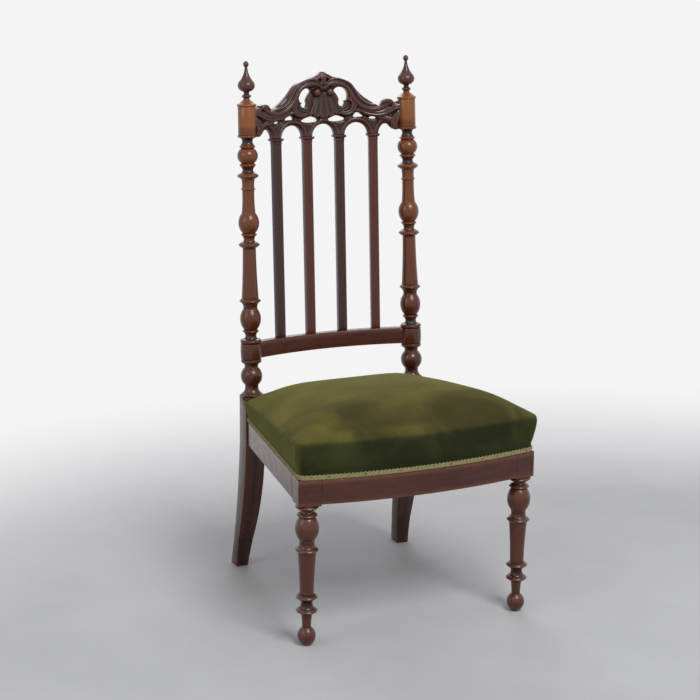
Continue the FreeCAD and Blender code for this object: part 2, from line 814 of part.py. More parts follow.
# The crest butts against the round blocks of the posts and is tenoned into them.
crest_tenon_long = value("crest_tenon_long")
crest = crest.cut(post_room("post_block_end / 2", SPRING_HEIGHT, BLOCK_MIDDLE + apex)
                  + post_room("post_block_foot_ring_middle / 2", SPRING_HEIGHT,
                              back_height("block_foot") + value("joint_clearance")))


def end_tenon(height, radius, long, thick, high, grow=0.0):
    """A tenon on the right-hand end of a bowed rail, lying along X."""
    x = post_axis_x(height) - radius
    y = bow_place(x, 0).Base.y
    return Part.makeBox(long + 3 + grow, thick + 2 * grow, high + 2 * grow,
                        Vector(x - 3 - grow, y - thick / 2 - grow, height - high / 2 - grow))


clear = value("joint_clearance")
crest_tenon_sizes = (BLOCK_MIDDLE, value("post_block_end / 2"), crest_tenon_long,
                     value("crest_tenon_thick"), value("crest_tenon_high"))
crest = crest.fuse(both_sides(end_tenon(*crest_tenon_sizes)))
slat_tenon = (value("slat_tenon_wide"), value("slat_tenon_deep"), value("slat_tenon_long"))


def slat_mortise(x, height, up):
    """The hole for a slat's tenon, from a rail's face up or down into the rail."""
    wide, deep, long = slat_tenon
    base = 0 if up else -long - clear
    hole = Part.makeBox(wide + 2 * clear, deep + 2 * clear, long + clear,
                        Vector(-wide / 2 - clear, -deep / 2 - clear, base))
    hole.Placement = bow_place(x, height)
    return hole


for x in slat_places:
    crest = crest.cut(slat_mortise(x, SPRING_HEIGHT, up=True))
crest_rail = finish(solid_feature("crest_rail", crest.removeSplitter()))
crest_rail.Placement = back_frame


# Lower back rail

LOWER_RAIL_FOOT = back_height("barrel") + value(
    "lower_rail_raise - (lower_rail_high - post_barrel_long) / 2")
LOWER_RAIL_TOP = LOWER_RAIL_FOOT + value("lower_rail_high")
lower_middle = (LOWER_RAIL_FOOT + LOWER_RAIL_TOP) / 2
half_thick = value("lower_rail_thick / 2")
lower = bowed_board(half_thick, half_thick, LOWER_RAIL_FOOT, LOWER_RAIL_TOP,
                    post_axis_x(lower_middle))
lower = lower.cut(post_room("post_rail_ring_top_middle / 2", LOWER_RAIL_FOOT - 1,
                            LOWER_RAIL_TOP + 1))
lower_tenon_sizes = (lower_middle, value("post_rail_ring_top_middle / 2"), crest_tenon_long,
                     value("crest_tenon_thick"), value("lower_rail_high") * 0.6)
lower = lower.fuse(both_sides(end_tenon(*lower_tenon_sizes)))
for x in slat_places:
    lower = lower.cut(slat_mortise(x, LOWER_RAIL_TOP, up=False))
lower_back_rail = finish(solid_feature("lower_back_rail", lower.removeSplitter()))
lower_back_rail.Placement = back_frame


# Mortises in the rear post, a bore for the finial's spigot, and the post itself

mortises = [end_tenon(*sizes, grow=clear) for sizes in (crest_tenon_sizes, lower_tenon_sizes)]
mortise_shape = Part.makeCompound([shape.transformGeometry(back_frame.toMatrix())
                                   for shape in mortises])
post_mortises = solid_feature("post_mortises", mortise_shape)
back_mortise = feature("Part::Box", "back_rail_mortise")
(x0, y0), _, (x1, y1), _ = back_tenon
back_mortise.setExpression("Length", words(f"{x1} - {x0} + joint_clearance + 1"))
back_mortise.setExpression("Width", words("tenon_thick + 2 * joint_clearance"))
back_mortise.setExpression("Height", words("tenon_high + 2 * joint_clearance"))
back_mortise.Placement = Placement(
    Vector(value(f"{x0} - 1"), value(f"{y0} - joint_clearance"),
           value(f"{BACK_TENON_FOOT} - joint_clearance")), Rotation())
for name, sign in (("right", 1), ("left", -1)):
    x_low = x0 if sign > 0 else f"-({x1})"
    x_high = x1 if sign > 0 else f"-({x0})"
    pad(back_rail, f"tenon_{name}", "XY_Plane", block(x_low, x_high, y0, y1),
        "tenon_high", BACK_TENON_FOOT)
post_height = value(stack("post", POST_ROWS))
finial_frame = post_frame * Placement(Vector(0, 0, post_height), Rotation())
spigot_bore = feature("Part::Cylinder", "spigot_bore")
spigot_bore.setExpression("Radius", words("spigot_wide / 2 + joint_clearance"))
spigot_bore.setExpression("Height", words("spigot_long + 2"))
spigot_bore.Placement = finial_frame * Placement(
    Vector(0, 0, -value("spigot_long") - 1), Rotation())
post_cutters = feature("Part::MultiFuse", "post_cutters",
                       Shapes=[post_mortises, back_mortise, spigot_bore])
rear_post_right = finish(feature("Part::Cut", "rear_post_right",
                                 Base=post_blank, Tool=post_cutters))
finish(mirrored("rear_post_left", rear_post_right))

finial_turning = turned("finial_turning", "finial", FINIAL_ROWS, str(FINIAL_START / 2))
spigot = feature("Part::Cylinder", "spigot")
spigot.setExpression("Radius", words("spigot_wide / 2"))
spigot.setExpression("Height", words("spigot_long + 1"))
spigot.Placement = Placement(Vector(0, 0, -value("spigot_long")), Rotation())
finial_right = finish(feature("Part::MultiFuse", "finial_right",
                              Shapes=[finial_turning, spigot]))
finial_right.Placement = finial_frame
finish(mirrored("finial_left", finial_right))


# Slats, each with a capital under the arcade and a tenon at both ends

slat_long = SPRING_HEIGHT - LOWER_RAIL_TOP
for number, x in enumerate(slat_places, 1):
    slat = finish(new_body(f"back_slat_{number}"))
    pads = [
        ("shaft", "slat_wide", "slat_deep", "0", f"{slat_long}"),
        ("capital", "capital_wide", "capital_deep", f"{slat_long} - capital_high",
         "capital_high"),
        ("necking", "slat_wide + 2 * necking_proud", "slat_deep + 2 * necking_proud",
         f"{slat_long} - capital_high - necking_gap - necking_high", "necking_high"),
        ("tenon_low", "slat_tenon_wide", "slat_tenon_deep", "-slat_tenon_long",
         "slat_tenon_long"),
        ("tenon_high", "slat_tenon_wide", "slat_tenon_deep", f"{slat_long}",
         "slat_tenon_long"),
    ]
    for name, wide, deep, foot, high in pads:
        pad(slat, f"slat_{number}_{name}", "XY_Plane", centred(wide, deep), high, foot)
    slat.Placement = back_frame * bow_place(x, LOWER_RAIL_TOP)


# Corner blocks glued and screwed inside the frame

BLOCK_Z = f"({RAIL_FOOT} + block_raise)"
front_block = finish(new_body("corner_block_front_right"))
FRONT_REACH_X = f"({INNER_X} - block_reach)"
SIDE_REACH_Y = f"({BLOCK_BACK} + block_reach)"
inner_front_y = bow_y(INNER_X, "rail_thick + soft_clearance")
pad(front_block, "front_block_body", "XY_Plane", [
    (FRONT_REACH_X, bow_y(FRONT_REACH_X, "rail_thick + soft_clearance")),
    (INNER_X, inner_front_y),
    (INNER_X, BLOCK_BACK),
    (side_x(BLOCK_BACK, "rail_thick"), BLOCK_BACK),
    (side_x(SIDE_REACH_Y, "rail_thick"), SIDE_REACH_Y),
], "block_high", BLOCK_Z)
rear_block = finish(new_body("corner_block_rear_right"))
REAR_SIDE_Y = f"({BACK_RAIL_FRONT} - block_reach)"
pad(rear_block, "rear_block_body", "XY_Plane", [
    (f"{POST_INNER} - block_reach", BACK_RAIL_FRONT),
    (POST_INNER, BACK_RAIL_FRONT),
    (POST_INNER, "0"),
    (side_x("0", "rail_thick"), "0"),
    (side_x(REAR_SIDE_Y, "rail_thick"), REAR_SIDE_Y),
], "block_high", BLOCK_Z)


def screw(head, aim):
    """A countersunk wood screw with its head flush at one point, aimed along a line."""
    head_high = value("screw_head_high")
    radius = value("screw_radius")
    cone = Part.makeCone(value("screw_head_radius"), radius, head_high, head, aim)
    shank = Part.makeCylinder(radius, value("screw_long"), head, aim)
    return cone.fuse(shank)


def screw_places():
    """Where the two screws of each right-hand corner block start, and their aim."""
    low = value(f"{BLOCK_Z} + block_high * 0.3")
    high = value(f"{BLOCK_Z} + block_high * 0.7")
    ends = {
        "front": (FRONT_REACH_X, bow_y(FRONT_REACH_X, "rail_thick + soft_clearance"),
                  side_x(SIDE_REACH_Y, "rail_thick"), SIDE_REACH_Y, -1),
        "rear": (f"{POST_INNER} - block_reach", BACK_RAIL_FRONT,
                 side_x(REAR_SIDE_Y, "rail_thick"), REAR_SIDE_Y, 1),
    }
    for x_a, y_a, x_b, y_b, way in ends.values():
        first = Vector(value(x_a), value(y_a), 0)
        last = Vector(value(x_b), value(y_b), 0)
        along = last - first
        yield first + along * 0.36 + Vector(0, 0, low), Vector(0, way, 0)
        yield first + along * 0.68 + Vector(0, 0, high), Vector(1, 0, 0)


def nail(point, inward):
    """A gimp nail: a low domed head and a thin shank that points inward."""
    head = value("nail_head_radius")
    shank = Part.makeCylinder(value("nail_radius"), value("nail_long"), point, inward)
    ball = Part.makeSphere(head, point + inward * (head * 0.45))
    return ball.common(Part.makeCylinder(head * 2, head, point, inward * -1)).fuse(shank)


def tack(point):
    """A flat-headed tack driven upwards."""
    up = Vector(0, 0, 1)
    shank = Part.makeCylinder(value("tack_radius"), value("tack_long"), point, up)
    head = Part.makeCylinder(value("tack_head_radius"), value("tack_head_high"), point, up * -1)
    return head.fuse(shank)


def spaced(low, high, pitch):
    """Even steps between two ends, as near to a pitch as fits."""
    count = max(1, round((high - low) / pitch))
    return [low + (high - low) * n / count for n in range(count + 1)]


far = 2000.0
soft = value("soft_clearance")
skin = value("cover_thick")
strip_top = value("tack_strip_high")
gimp_foot = value("gimp_raise")
gimp_top = gimp_foot + value("gimp_high")
gimp_in = "(tack_rebate - 2 * soft_clearance - cover_thick)"
gimp_out = f"({gimp_in} - gimp_thick)"
nail_height = value(RAIL_TOP) + (gimp_foot + gimp_top) / 2
slope = value("(seat_front_half - seat_rear_half) / seat_depth")


head_seat = f"({gimp_out} - 0.1)"


def gimp_nails():
    """The nails through the gimp, their heads a hair's breadth off it."""
    pitch = value("nail_pitch")
    front_half = value(f"{INNER_X} + leg_block_wide / 2")
    for x in spaced(-front_half, front_half, pitch):
        point = Vector(x, value(bow_y(str(x), head_seat)), nail_height)
        yield nail(point, Vector(-x, value(BOW_RADIUS), 0).normalize())
    for y in spaced(value(f"{BLOCK_BACK} - leg_block_deep / 2"), -value("nail_pitch / 2"), pitch):
        point = Vector(value(side_x(str(y), head_seat)), y, nail_height)
        yield from both_sides(nail(point, Vector(-1, -slope, 0).normalize()))
    back_half = value(f"{POST_INNER} - nail_pitch / 2")
    for x in spaced(-back_half, back_half, pitch):
        yield nail(Vector(x, value(f"seat_tail - {head_seat}"), nail_height), Vector(0, -1, 0))


web_half = value("web_wide / 2")
web_thick = value("web_thick")
web_level = value(RAIL_FOOT) - web_thick
across_y = [-value("web_centre_back") + n * value("web_pitch_across") for n in (-1, 0, 1)]
along_x = [n * value("web_pitch_along") for n in (-1, 0, 1)]
lap = value("web_lap")
tack_in = lap - value("tack_head_radius") - 1
web_spread = (-web_half * 0.6, 0, web_half * 0.6)


def web_tacks():
    for y in across_y:
        for shift in web_spread:
            x = value(side_x(str(y + shift), "rail_thick")) + tack_in
            yield from both_sides(tack(Vector(x, y + shift, web_level)))
    for x in along_x:
        for shift in web_spread:
            front = value(bow_y(str(x + shift), "rail_thick")) - tack_in
            rear = value(BACK_RAIL_FRONT) + tack_in
            yield tack(Vector(x + shift, front, web_level))
            yield tack(Vector(x + shift, rear, web_level))


cloth_foot = web_level - web_thick - 2 * soft - value("cloth_thick")


def cloth_tacks():
    pitch = value("tack_pitch")
    inset = "cloth_tack_inset"
    front_half = value(INNER_X) - 6
    for x in spaced(-front_half, front_half, pitch):
        yield tack(Vector(x, value(bow_y(str(x), inset)), cloth_foot))
    for y in spaced(value(BLOCK_BACK) + 8, -8, pitch):
        yield from both_sides(tack(Vector(value(side_x(str(y), inset)), y, cloth_foot)))
    back_half = value(POST_INNER) - 8
    for x in spaced(-back_half, back_half, pitch):
        yield tack(Vector(x, value("seat_tail - cloth_tack_inset"), cloth_foot))


screw_solids = [half for head, aim in screw_places() for half in both_sides(screw(head, aim))]
nail_solids = list(gimp_nails())
web_tack_solids = list(web_tacks())
cloth_tack_solids = list(cloth_tacks())
finish(solid_feature("corner_block_screws", Part.makeCompound(screw_solids)))
finish(solid_feature("gimp_nails", Part.makeCompound(nail_solids)))
finish(solid_feature("webbing_tacks", Part.makeCompound(web_tack_solids)))
finish(solid_feature("bottom_cloth_tacks", Part.makeCompound(cloth_tack_solids)))
fixings = solid_feature("fixing_holes", Part.makeCompound(
    screw_solids + nail_solids + web_tack_solids + cloth_tack_solids))


def drilled(blank):
    """A piece with the holes that its screws, nails and tacks have cut for themselves."""
    label = blank.Label
    finished.pop(label)
    blank.Label = label + "_blank"
    return finish(feature("Part::Cut", label, Base=blank, Tool=fixings))


def clear_of_fixings(shape, solids):
    """A soft piece with holes where nails or tacks pass through it."""
    near = [item for item in solids if item.BoundBox.intersect(shape.BoundBox)]
    return shape.cut(near) if near else shape


drilled(front_rail)
drilled(back_rail)
for blank in (side_rail, front_block, rear_block, front_leg_right):
    whole = drilled(blank)
    left = whole.Label.replace("right", "left")
    if left in finished:
        finished[left].Source = whole
    else:
        finish(mirrored(left, whole))


# Upholstery, from the outside in: cover, stuffing, canvas, springs and webbing

def seat_ring(inset, rise, fall=0.0, corner=None):
    """A closed ring round the seat: bowed front, straight sides and back, round corners.

    The ring is drawn in plan at an inset from the show wood, then lifted to its rise
    above the rail, less the fall for each millimetre towards the back.
    """
    inset = value(str(inset))
    corner = value("cushion_corner") if corner is None else corner
    height = value(RAIL_TOP) + rise
    front_x = value(side_x("-seat_depth", str(inset)))
    side_low = value(bow_y("seat_front_half", str(inset))) + corner
    rear_y = value("seat_tail") - inset
    back_round = min(corner, 6.0)

    def lift(x, y):
        return Vector(x, y, height - fall * (y + value("seat_depth")))

    def edge_x(y):
        return value(side_x(str(y), str(inset)))

    bow_x = front_x - corner
    start = (bow_x, value(bow_y(str(bow_x), str(inset))))
    end = (edge_x(side_low), side_low)
    middle = (front_x - ROUND_MIDDLE_IN * corner,
              value(bow_y(str(front_x), str(inset))) + ROUND_MIDDLE_BACK * corner)
    rear_side = (edge_x(rear_y - back_round), rear_y - back_round)
    rear_end = (edge_x(rear_y) - back_round, rear_y)
    rear_middle = (edge_x(rear_y) - back_round * 0.29, rear_y - back_round * 0.29)
    half = [start, middle, end, rear_side, rear_middle, rear_end]
    right = [lift(x, y) for x, y in half]
    left = [lift(-x, y) for x, y in half]
    front_middle = lift(0, value(bow_y("0", str(inset))))
    edges = [
        Part.Arc(left[0], front_middle, right[0]).toShape(),
        Part.Arc(right[0], right[1], right[2]).toShape(),
        Part.makeLine(right[2], right[3]),
        Part.Arc(right[3], right[4], right[5]).toShape(),
        Part.makeLine(right[5], left[5]),
        Part.Arc(left[5], left[4], left[3]).toShape(),
        Part.makeLine(left[3], left[2]),
        Part.Arc(left[2], left[1], left[0]).toShape(),
    ]
    return Part.Wire(edges)


def crown_rings(shrink):
    """The rings of the cushion's outer form, drawn in by a shrink.

    The side stands straight behind the gimp, leans out to its bulge above it and runs
    into a round shoulder, and the top climbs from there to the crown along a parabola.
    """
    rebate = value("tack_rebate - soft_clearance - cover_thick")
    bulge = value("cover_bulge")
    side = value("cushion_front_high")
    crown = value("cushion_crown")
    fall = value("cushion_fall")
    shoulder = value("cushion_shoulder")
    reach = value("cushion_crown_reach")
    low = gimp_top + soft
    steps = [(rebate, soft, 0.0)]
    for n in range(6):
        share = n / 5
        inset = rebate - (rebate + bulge) * math.sin(0.5 * math.pi * min(1, share * 1.6))
        steps.append((inset, low + (side - shoulder - low) * share, fall * share))
    for n in range(1, 5):
        angle = math.radians(17.5 * n)
        steps.append((shoulder * (1 - math.cos(angle)) - bulge,
                      side - shoulder * (1 - math.sin(angle)), fall))
    last_inset, last_rise, _ = steps[-1]
    for n in range(1, 8):
        share = n / 7
        steps.append((last_inset + reach * share,
                      last_rise + crown * (1 - (1 - share) ** 2), fall * (1 + 0.15 * share)))
    rings = []
    for inset, rise, tilt in steps:
        lower = shrink * max(0.0, (rise - side + shoulder) / shoulder)
        rings.append(seat_ring(inset + shrink, rise - min(shrink, lower), tilt))
    return rings


def lofted(rings):
    return Part.makeLoft(rings, True, True)


def post_notch(clearance):
    """The room that the rear posts' square blocks take out of the seat."""
    near = value(POST_INNER) - clearance
    return both_sides(Part.makeBox(far, far, far, Vector(near, -clearance, 0)))


outer_form = lofted(crown_rings(0.0)).cut(post_notch(soft))
inner_form = lofted(crown_rings(skin)).cut(post_notch(soft + skin))


def canvas_rings(grow):
    """The tent of canvas over the springs, grown by a thickness."""
    high = value("canvas_high - rail_show")
    return [
        seat_ring(f"canvas_ledge - ({grow})", strip_top + soft, corner=6.0),
        seat_ring(f"canvas_ledge + canvas_slope - ({grow})", high + grow, corner=12.0),
    ]


tent_outer = lofted(canvas_rings(value("canvas_thick")))
tent_inner = lofted(canvas_rings(0.0))
below_strip = Part.makeBox(far, far, far,
                           Vector(-far / 2, -far / 2, value(RAIL_TOP) + strip_top + soft - far))
skirt_inner = [seat_ring("tack_rebate - soft_clearance", rise) for rise in (-1, strip_top + soft)]
skirt_hollow = lofted(skirt_inner).cut(post_notch(-1.0))
cover = outer_form.cut([inner_form.cut(below_strip), skirt_hollow])
finish(solid_feature("velvet_cover", clear_of_fixings(cover, nail_solids)))
stuffing_ease = skin + value("stuffing_ease")
stuffing = lofted(crown_rings(stuffing_ease)).cut(post_notch(soft + stuffing_ease))
tent_room = lofted(canvas_rings(value("canvas_thick + soft_clearance")))
stuffing = stuffing.cut([below_strip, tent_room])
finish(solid_feature("seat_stuffing", stuffing))
canvas = tent_outer.cut(tent_inner).cut(post_notch(soft))
finish(solid_feature("spring_canvas", canvas))


def webbing_under(y0, y1, x0, x1):
    return Part.makeBox(x1 - x0, y1 - y0, value("web_thick"),
                        Vector(x0, y0, value(RAIL_FOOT) - value("web_thick")))


across = []
for y in across_y:
    reach = value(side_x(str(y), "rail_thick")) + lap
    strip = webbing_under(y - web_half, y + web_half, -reach, reach)
    across.append(clear_of_fixings(strip, web_tack_solids + cloth_tack_solids))
finish(solid_feature("webbing_across", Part.makeCompound(across)))


def woven_strip(x, start_over):
    """A strip from front to back that goes over and under the strips across it."""
    reach = web_half + 8
    front = value(bow_y(str(x), "rail_thick")) - lap
    rear = value(BACK_RAIL_FRONT) + lap
    line = [(front, web_level)]
    over = start_over
    for y in across_y:
        level = web_level + (web_thick + soft if over else -web_thick - soft)
        line += [(y - reach + 2, level), (y + reach - 2, level)]
        over = not over
    line.append((rear, web_level))
    line.insert(1, (front + lap + 6, web_level))
    line.insert(-1, (rear - lap - 6, web_level))
    low = [Vector(x - web_half, y, z) for y, z in line]
    high = [point + Vector(0, 0, web_thick) for point in reversed(low)]
    face = Part.Face(Part.makePolygon(low + high + low[:1]))
    return face.extrude(Vector(2 * web_half, 0, 0))


along = [clear_of_fixings(woven_strip(x, n % 2 == 0), web_tack_solids + cloth_tack_solids)
         for n, x in enumerate(along_x)]
finish(solid_feature("webbing_front_to_back", Part.makeCompound(along)))


def biarc(start, start_way, end, end_way):
    """Two arcs that join two points and run along the given way at each."""
    chord = end - start
    both = start_way + end_way
    bend = 2 * (1 - start_way.dot(end_way))
    along_both = chord.dot(both)
    reach = (-along_both + math.sqrt(along_both ** 2 + bend * chord.dot(chord))) / bend
    middle = (start + end + (start_way - end_way) * reach) * 0.5

    def arc(point, way, far):
        line = far - point
        sideways = line - way * line.dot(way)
        radius = line.dot(line) / (2 * sideways.Length)
        centre = point + sideways.normalize() * radius
        outward = ((point + far) * 0.5 - centre).normalize()
        return Part.Arc(point, centre + outward * radius, far).toShape()

    return [arc(start, start_way, middle), arc(end, end_way * -1, middle)]


def coil_spring(foot, high):
    """A waisted upholstery spring: a wire wound wide at both ends and narrow between."""
    wire_radius = value("spring_wire / 2")
    end_radius = value("spring_end_radius")
    waist = value("spring_waist_radius")
    turns = int(value("spring_turns"))
    steps = turns * 4
    rise = high - 2 * wire_radius

    def place(step):
        share = step / steps
        radius = waist + (end_radius - waist) * (2 * share - 1) ** 2
        angle = 2 * math.pi * step / 4
        return foot + Vector(radius * math.cos(angle), radius * math.sin(angle),
                             wire_radius + rise * share)

    def way(step):
        small = 0.001
        return (place(step + small) - place(step - small)).normalize()

    edges = []
    for step in range(steps):
        edges += biarc(place(step), way(step), place(step + 1), way(step + 1))
    path = Part.Wire(Part.__sortEdges__(edges))
    section = Part.Wire([Part.Circle(place(0), way(0), wire_radius).toShape()])
    return path.makePipeShell([section], True, False)


spring_foot = value(RAIL_FOOT) + web_thick + 2 * soft
spring_high = value(RAIL_FOOT + " + canvas_high") - spring_foot - soft
springs = []
for n, x in enumerate(along_x):
    for m, y in enumerate(across_y):
        if (n + m) % 2 == 0:
            springs.append(coil_spring(Vector(x, y, spring_foot), spring_high))
finish(solid_feature("seat_springs", Part.makeCompound(springs)))


# Gimp braid over the cover's lower edge

gimp_ring = lofted([seat_ring(gimp_out, gimp_foot), seat_ring(gimp_out, gimp_top)])
gimp_hollow = lofted([seat_ring(gimp_in, gimp_foot - 1), seat_ring(gimp_in, gimp_top + 1)])
gimp_ring = gimp_ring.cut(gimp_hollow)
gimp_ring = gimp_ring.cut(post_notch(soft))
corner_y = value("-seat_depth") + value("cushion_corner") + 1
front_zone = Part.makeBox(far, far, far, Vector(-far / 2, corner_y - far, 0))
right_zone = Part.makeBox(far, -corner_y + 10, far, Vector(0, corner_y + soft, 0))
left_zone = Part.makeBox(far, -corner_y + 10, far, Vector(-far, corner_y + soft, 0))
back_zone = Part.makeBox(far, far, far, Vector(-far / 2, 12, 0))
for name, zone in (("front", front_zone), ("right", right_zone), ("left", left_zone),
                   ("back", back_zone)):
    strip = gimp_ring.common(zone)
    if name in ("right", "left"):
        strip = strip.cut(Part.makeBox(2 * value(POST_INNER), far, far,
                                       Vector(-value(POST_INNER), -far / 2, 0)))
    finish(solid_feature(f"gimp_{name}", clear_of_fixings(strip, nail_solids)))


# Bottom cloth

cloth_plan = Part.Face(seat_ring("cloth_margin", 0, corner=6.0))
cloth_plan.translate(Vector(0, 0, cloth_foot - value(RAIL_TOP)))
cloth = cloth_plan.extrude(Vector(0, 0, value("cloth_thick")))
cloth_gap = 2.0
leg_notch = Part.makeBox(far, far, far,
                         Vector(value(INNER_X) - cloth_gap, value(BLOCK_BACK) + cloth_gap - far, 0))
cloth = cloth.cut(both_sides(leg_notch) + post_notch(cloth_gap))
finish(solid_feature("bottom_cloth", clear_of_fixings(cloth, cloth_tack_solids)))


# Put everything on its own centre, check it and write it

document.recompute()
box = FreeCAD.BoundBox()
for item in finished.values():
    box.add(item.Shape.optimalBoundingBox())
to_centre = Placement(Vector(0, -(box.YMin + box.YMax) / 2, 0), Rotation())
for item in finished.values():
    if item.TypeId != "Part::Mirroring":
        item.Placement = to_centre * item.Placement
document.recompute()

for item in document.Objects:
    if "Invalid" in item.State or "Error" in item.State:
        raise RuntimeError(f"{item.Label} did not recompute: {item.State}")
os.makedirs("parts", exist_ok=True)
total = FreeCAD.BoundBox()
for label, item in sorted(finished.items()):
    shape = item.Shape
    if shape.isNull() or not shape.isValid() or not shape.Solids:
        raise RuntimeError(label + " has no valid solid")
    shape.exportStep(f"parts/{label}.step")
    total.add(shape.optimalBoundingBox())
    print(f"{label}: {len(shape.Solids)} solid(s), {shape.Volume / 1000:.1f} cm3")
print(f"{len(finished)} nodes, {total.XLength:.1f} x {total.YLength:.1f} x {total.ZLength:.1f} mm")
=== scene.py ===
# %% [markdown]
# # A high-backed side chair
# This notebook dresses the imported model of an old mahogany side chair: turned posts and
# legs, a carved and pierced crest rail, four upright slats and a sprung seat in worn olive
# velvet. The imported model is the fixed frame. It says where every piece is, so each new
# piece below is modelled straight in its own place, in metres, with +Z up and the sitter
# facing -Y.

# %% Load the frame
import math

import bmesh
import bpy
import numpy as np
from mathutils import Matrix, Vector, kdtree


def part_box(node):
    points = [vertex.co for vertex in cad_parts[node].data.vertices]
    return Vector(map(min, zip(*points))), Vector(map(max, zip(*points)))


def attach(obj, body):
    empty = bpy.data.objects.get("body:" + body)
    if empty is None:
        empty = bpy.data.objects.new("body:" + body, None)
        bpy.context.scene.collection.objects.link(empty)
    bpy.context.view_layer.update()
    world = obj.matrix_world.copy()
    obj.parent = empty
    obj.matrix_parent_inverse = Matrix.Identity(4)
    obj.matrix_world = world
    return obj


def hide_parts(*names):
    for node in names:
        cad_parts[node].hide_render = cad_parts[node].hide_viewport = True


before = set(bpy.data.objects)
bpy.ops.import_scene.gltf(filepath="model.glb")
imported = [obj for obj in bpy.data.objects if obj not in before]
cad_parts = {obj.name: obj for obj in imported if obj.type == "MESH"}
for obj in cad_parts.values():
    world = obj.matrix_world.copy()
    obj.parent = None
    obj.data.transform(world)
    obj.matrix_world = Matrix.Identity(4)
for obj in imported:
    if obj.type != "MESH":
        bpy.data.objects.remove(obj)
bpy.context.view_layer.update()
print("packed nodes:", len(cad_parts))

# %% [markdown]
# The drawing's own datum is where the side rails meet the rear posts, and its sizes are in
# millimetres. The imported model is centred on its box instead, so the shift between the two
# is read from a piece whose place in the drawing is known: the rear face of the back rail,
# 31 mm behind the datum.

# %% From the drawing to the frame
MM = 0.001
SEAT_TAIL = 31.0
DATUM_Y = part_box("back_seat_rail")[1].y - SEAT_TAIL * MM


def spot(x, y, z):
    """A place given in the drawing's millimetres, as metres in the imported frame."""
    return Vector((x * MM, y * MM + DATUM_Y, z * MM))


print(f"datum at y = {DATUM_Y:.4f} m")

# %% [markdown]
# The camera was solved from the photograph: it stands a little above the crest, in front
# and to the left, with a long lens. Its view is written as a turn, a tilt and a small roll,
# and the matrix is put together from those three angles.

# %% Camera
YAW, PITCH, ROLL = 0.42286, 0.25276, 0.0099
CAMERA_SPOT = (-1605.9, -3636.9, 1493.3)
PHOTO_SIDE = 700
FOCAL_PIXELS = 1990.14

forward = Vector((math.sin(YAW) * math.cos(PITCH), math.cos(YAW) * math.cos(PITCH),
                  -math.sin(PITCH)))
level = Vector((math.cos(YAW), -math.sin(YAW), 0))
upright = level.cross(forward)
side = level * math.cos(ROLL) + upright * math.sin(ROLL)
top = upright * math.cos(ROLL) - level * math.sin(ROLL)
view = Matrix((side, top, -forward)).transposed().to_4x4()
view.translation = spot(*CAMERA_SPOT)

bpy.ops.object.camera_add()
camera = bpy.context.object
camera.name = "camera"
camera.matrix_world = view
camera.data.sensor_width = 36
camera.data.lens = FOCAL_PIXELS / PHOTO_SIDE * camera.data.sensor_width
camera.data.dof.use_dof = False
bpy.context.scene.camera = camera
print(f"lens {camera.data.lens:.1f} mm at {tuple(round(v, 3) for v in view.translation)}")

# %% [markdown]
# The room is a plain pale floor and soft light. A large key light hangs high in front of
# the chair, and weaker ones fill the shadows from the left and from behind.

# %% Floor and lamps
bpy.ops.mesh.primitive_plane_add(size=60, location=(0, 0, 0))
floor = bpy.context.object
floor.name = "floor"

LAMPS = [
    # name, place, size, power
    ("key_lamp", (0.3, -2.5, 3.2), 1.5, 88),
    ("left_lamp", (-3.0, -0.6, 1.9), 1.6, 16),
    ("rear_lamp", (0.8, 2.8, 2.6), 2.0, 34),
]
for name, place, size, power in LAMPS:
    bpy.ops.object.light_add(type="AREA", location=place)
    lamp = bpy.context.object
    lamp.name = name
    lamp.data.size = size
    lamp.data.energy = power
    aim = Vector((0, 0, 0.5)) - Vector(place)
    lamp.rotation_euler = aim.to_track_quat("-Z", "Y").to_euler()

bpy.context.scene.view_settings.view_transform = "Standard"
print("lamps:", ", ".join(name for name, *_ in LAMPS))

# %% [markdown]
# Materials are made of nodes, and writing node after node by hand gets long. These short
# helpers add a node with its sockets filled, do one sum, mix two colours or spread a value
# over a range, and everything after them reads like a recipe.

# %% Node helpers


def paint(red, green, blue):
    """A colour as a paint program shows it, turned to the linear values that nodes use."""
    shares = [value / 255 for value in (red, green, blue)]
    return tuple(v / 12.92 if v <= 0.04045 else ((v + 0.055) / 1.055) ** 2.4
                 for v in shares) + (1.0,)


def put(tree, kind, inputs=None, **settings):
    """A new node. Its inputs are filled with plain values or linked from other sockets."""
    node = tree.nodes.new("ShaderNode" + kind)
    for name, value in settings.items():
        setattr(node, name, value)
    for name, value in (inputs or {}).items():
        fill(tree, node.inputs[name], value)
    return node


def fill(tree, socket, value):
    if isinstance(value, bpy.types.NodeSocket):
        tree.links.new(value, socket)
    else:
        socket.default_value = value


def sums(tree, operation, first, second=0.0, clamp=False):
    node = put(tree, "Math", operation=operation, use_clamp=clamp)
    fill(tree, node.inputs[0], first)
    fill(tree, node.inputs[1], second)
    return node.outputs[0]


def mixed(tree, share, first, second, how="MIX"):
    node = put(tree, "Mix", data_type="RGBA", blend_type=how)
    fill(tree, node.inputs[0], share)
    fill(tree, node.inputs[6], first)
    fill(tree, node.inputs[7], second)
    return node.outputs[2]


def spread(tree, value, low, high, new_low=0.0, new_high=1.0):
    """A value moved from one range to another and kept inside it, with soft ends."""
    node = put(tree, "MapRange", interpolation_type="SMOOTHSTEP")
    fill(tree, node.inputs["Value"], value)
    for name, number in (("From Min", low), ("From Max", high),
                         ("To Min", new_low), ("To Max", new_high)):
        node.inputs[name].default_value = number
    return node.outputs["Result"]


def scaled(tree, vector, factors):
    node = put(tree, "VectorMath", operation="MULTIPLY")
    fill(tree, node.inputs[0], vector)
    node.inputs[1].default_value = factors
    return node.outputs[0]


def noise(tree, vector, scale, detail=3.0, roughness=0.5, distortion=0.0):
    return put(tree, "TexNoise", {"Vector": vector, "Scale": scale, "Detail": detail,
                                  "Roughness": roughness,
                                  "Distortion": distortion}).outputs["Fac"]


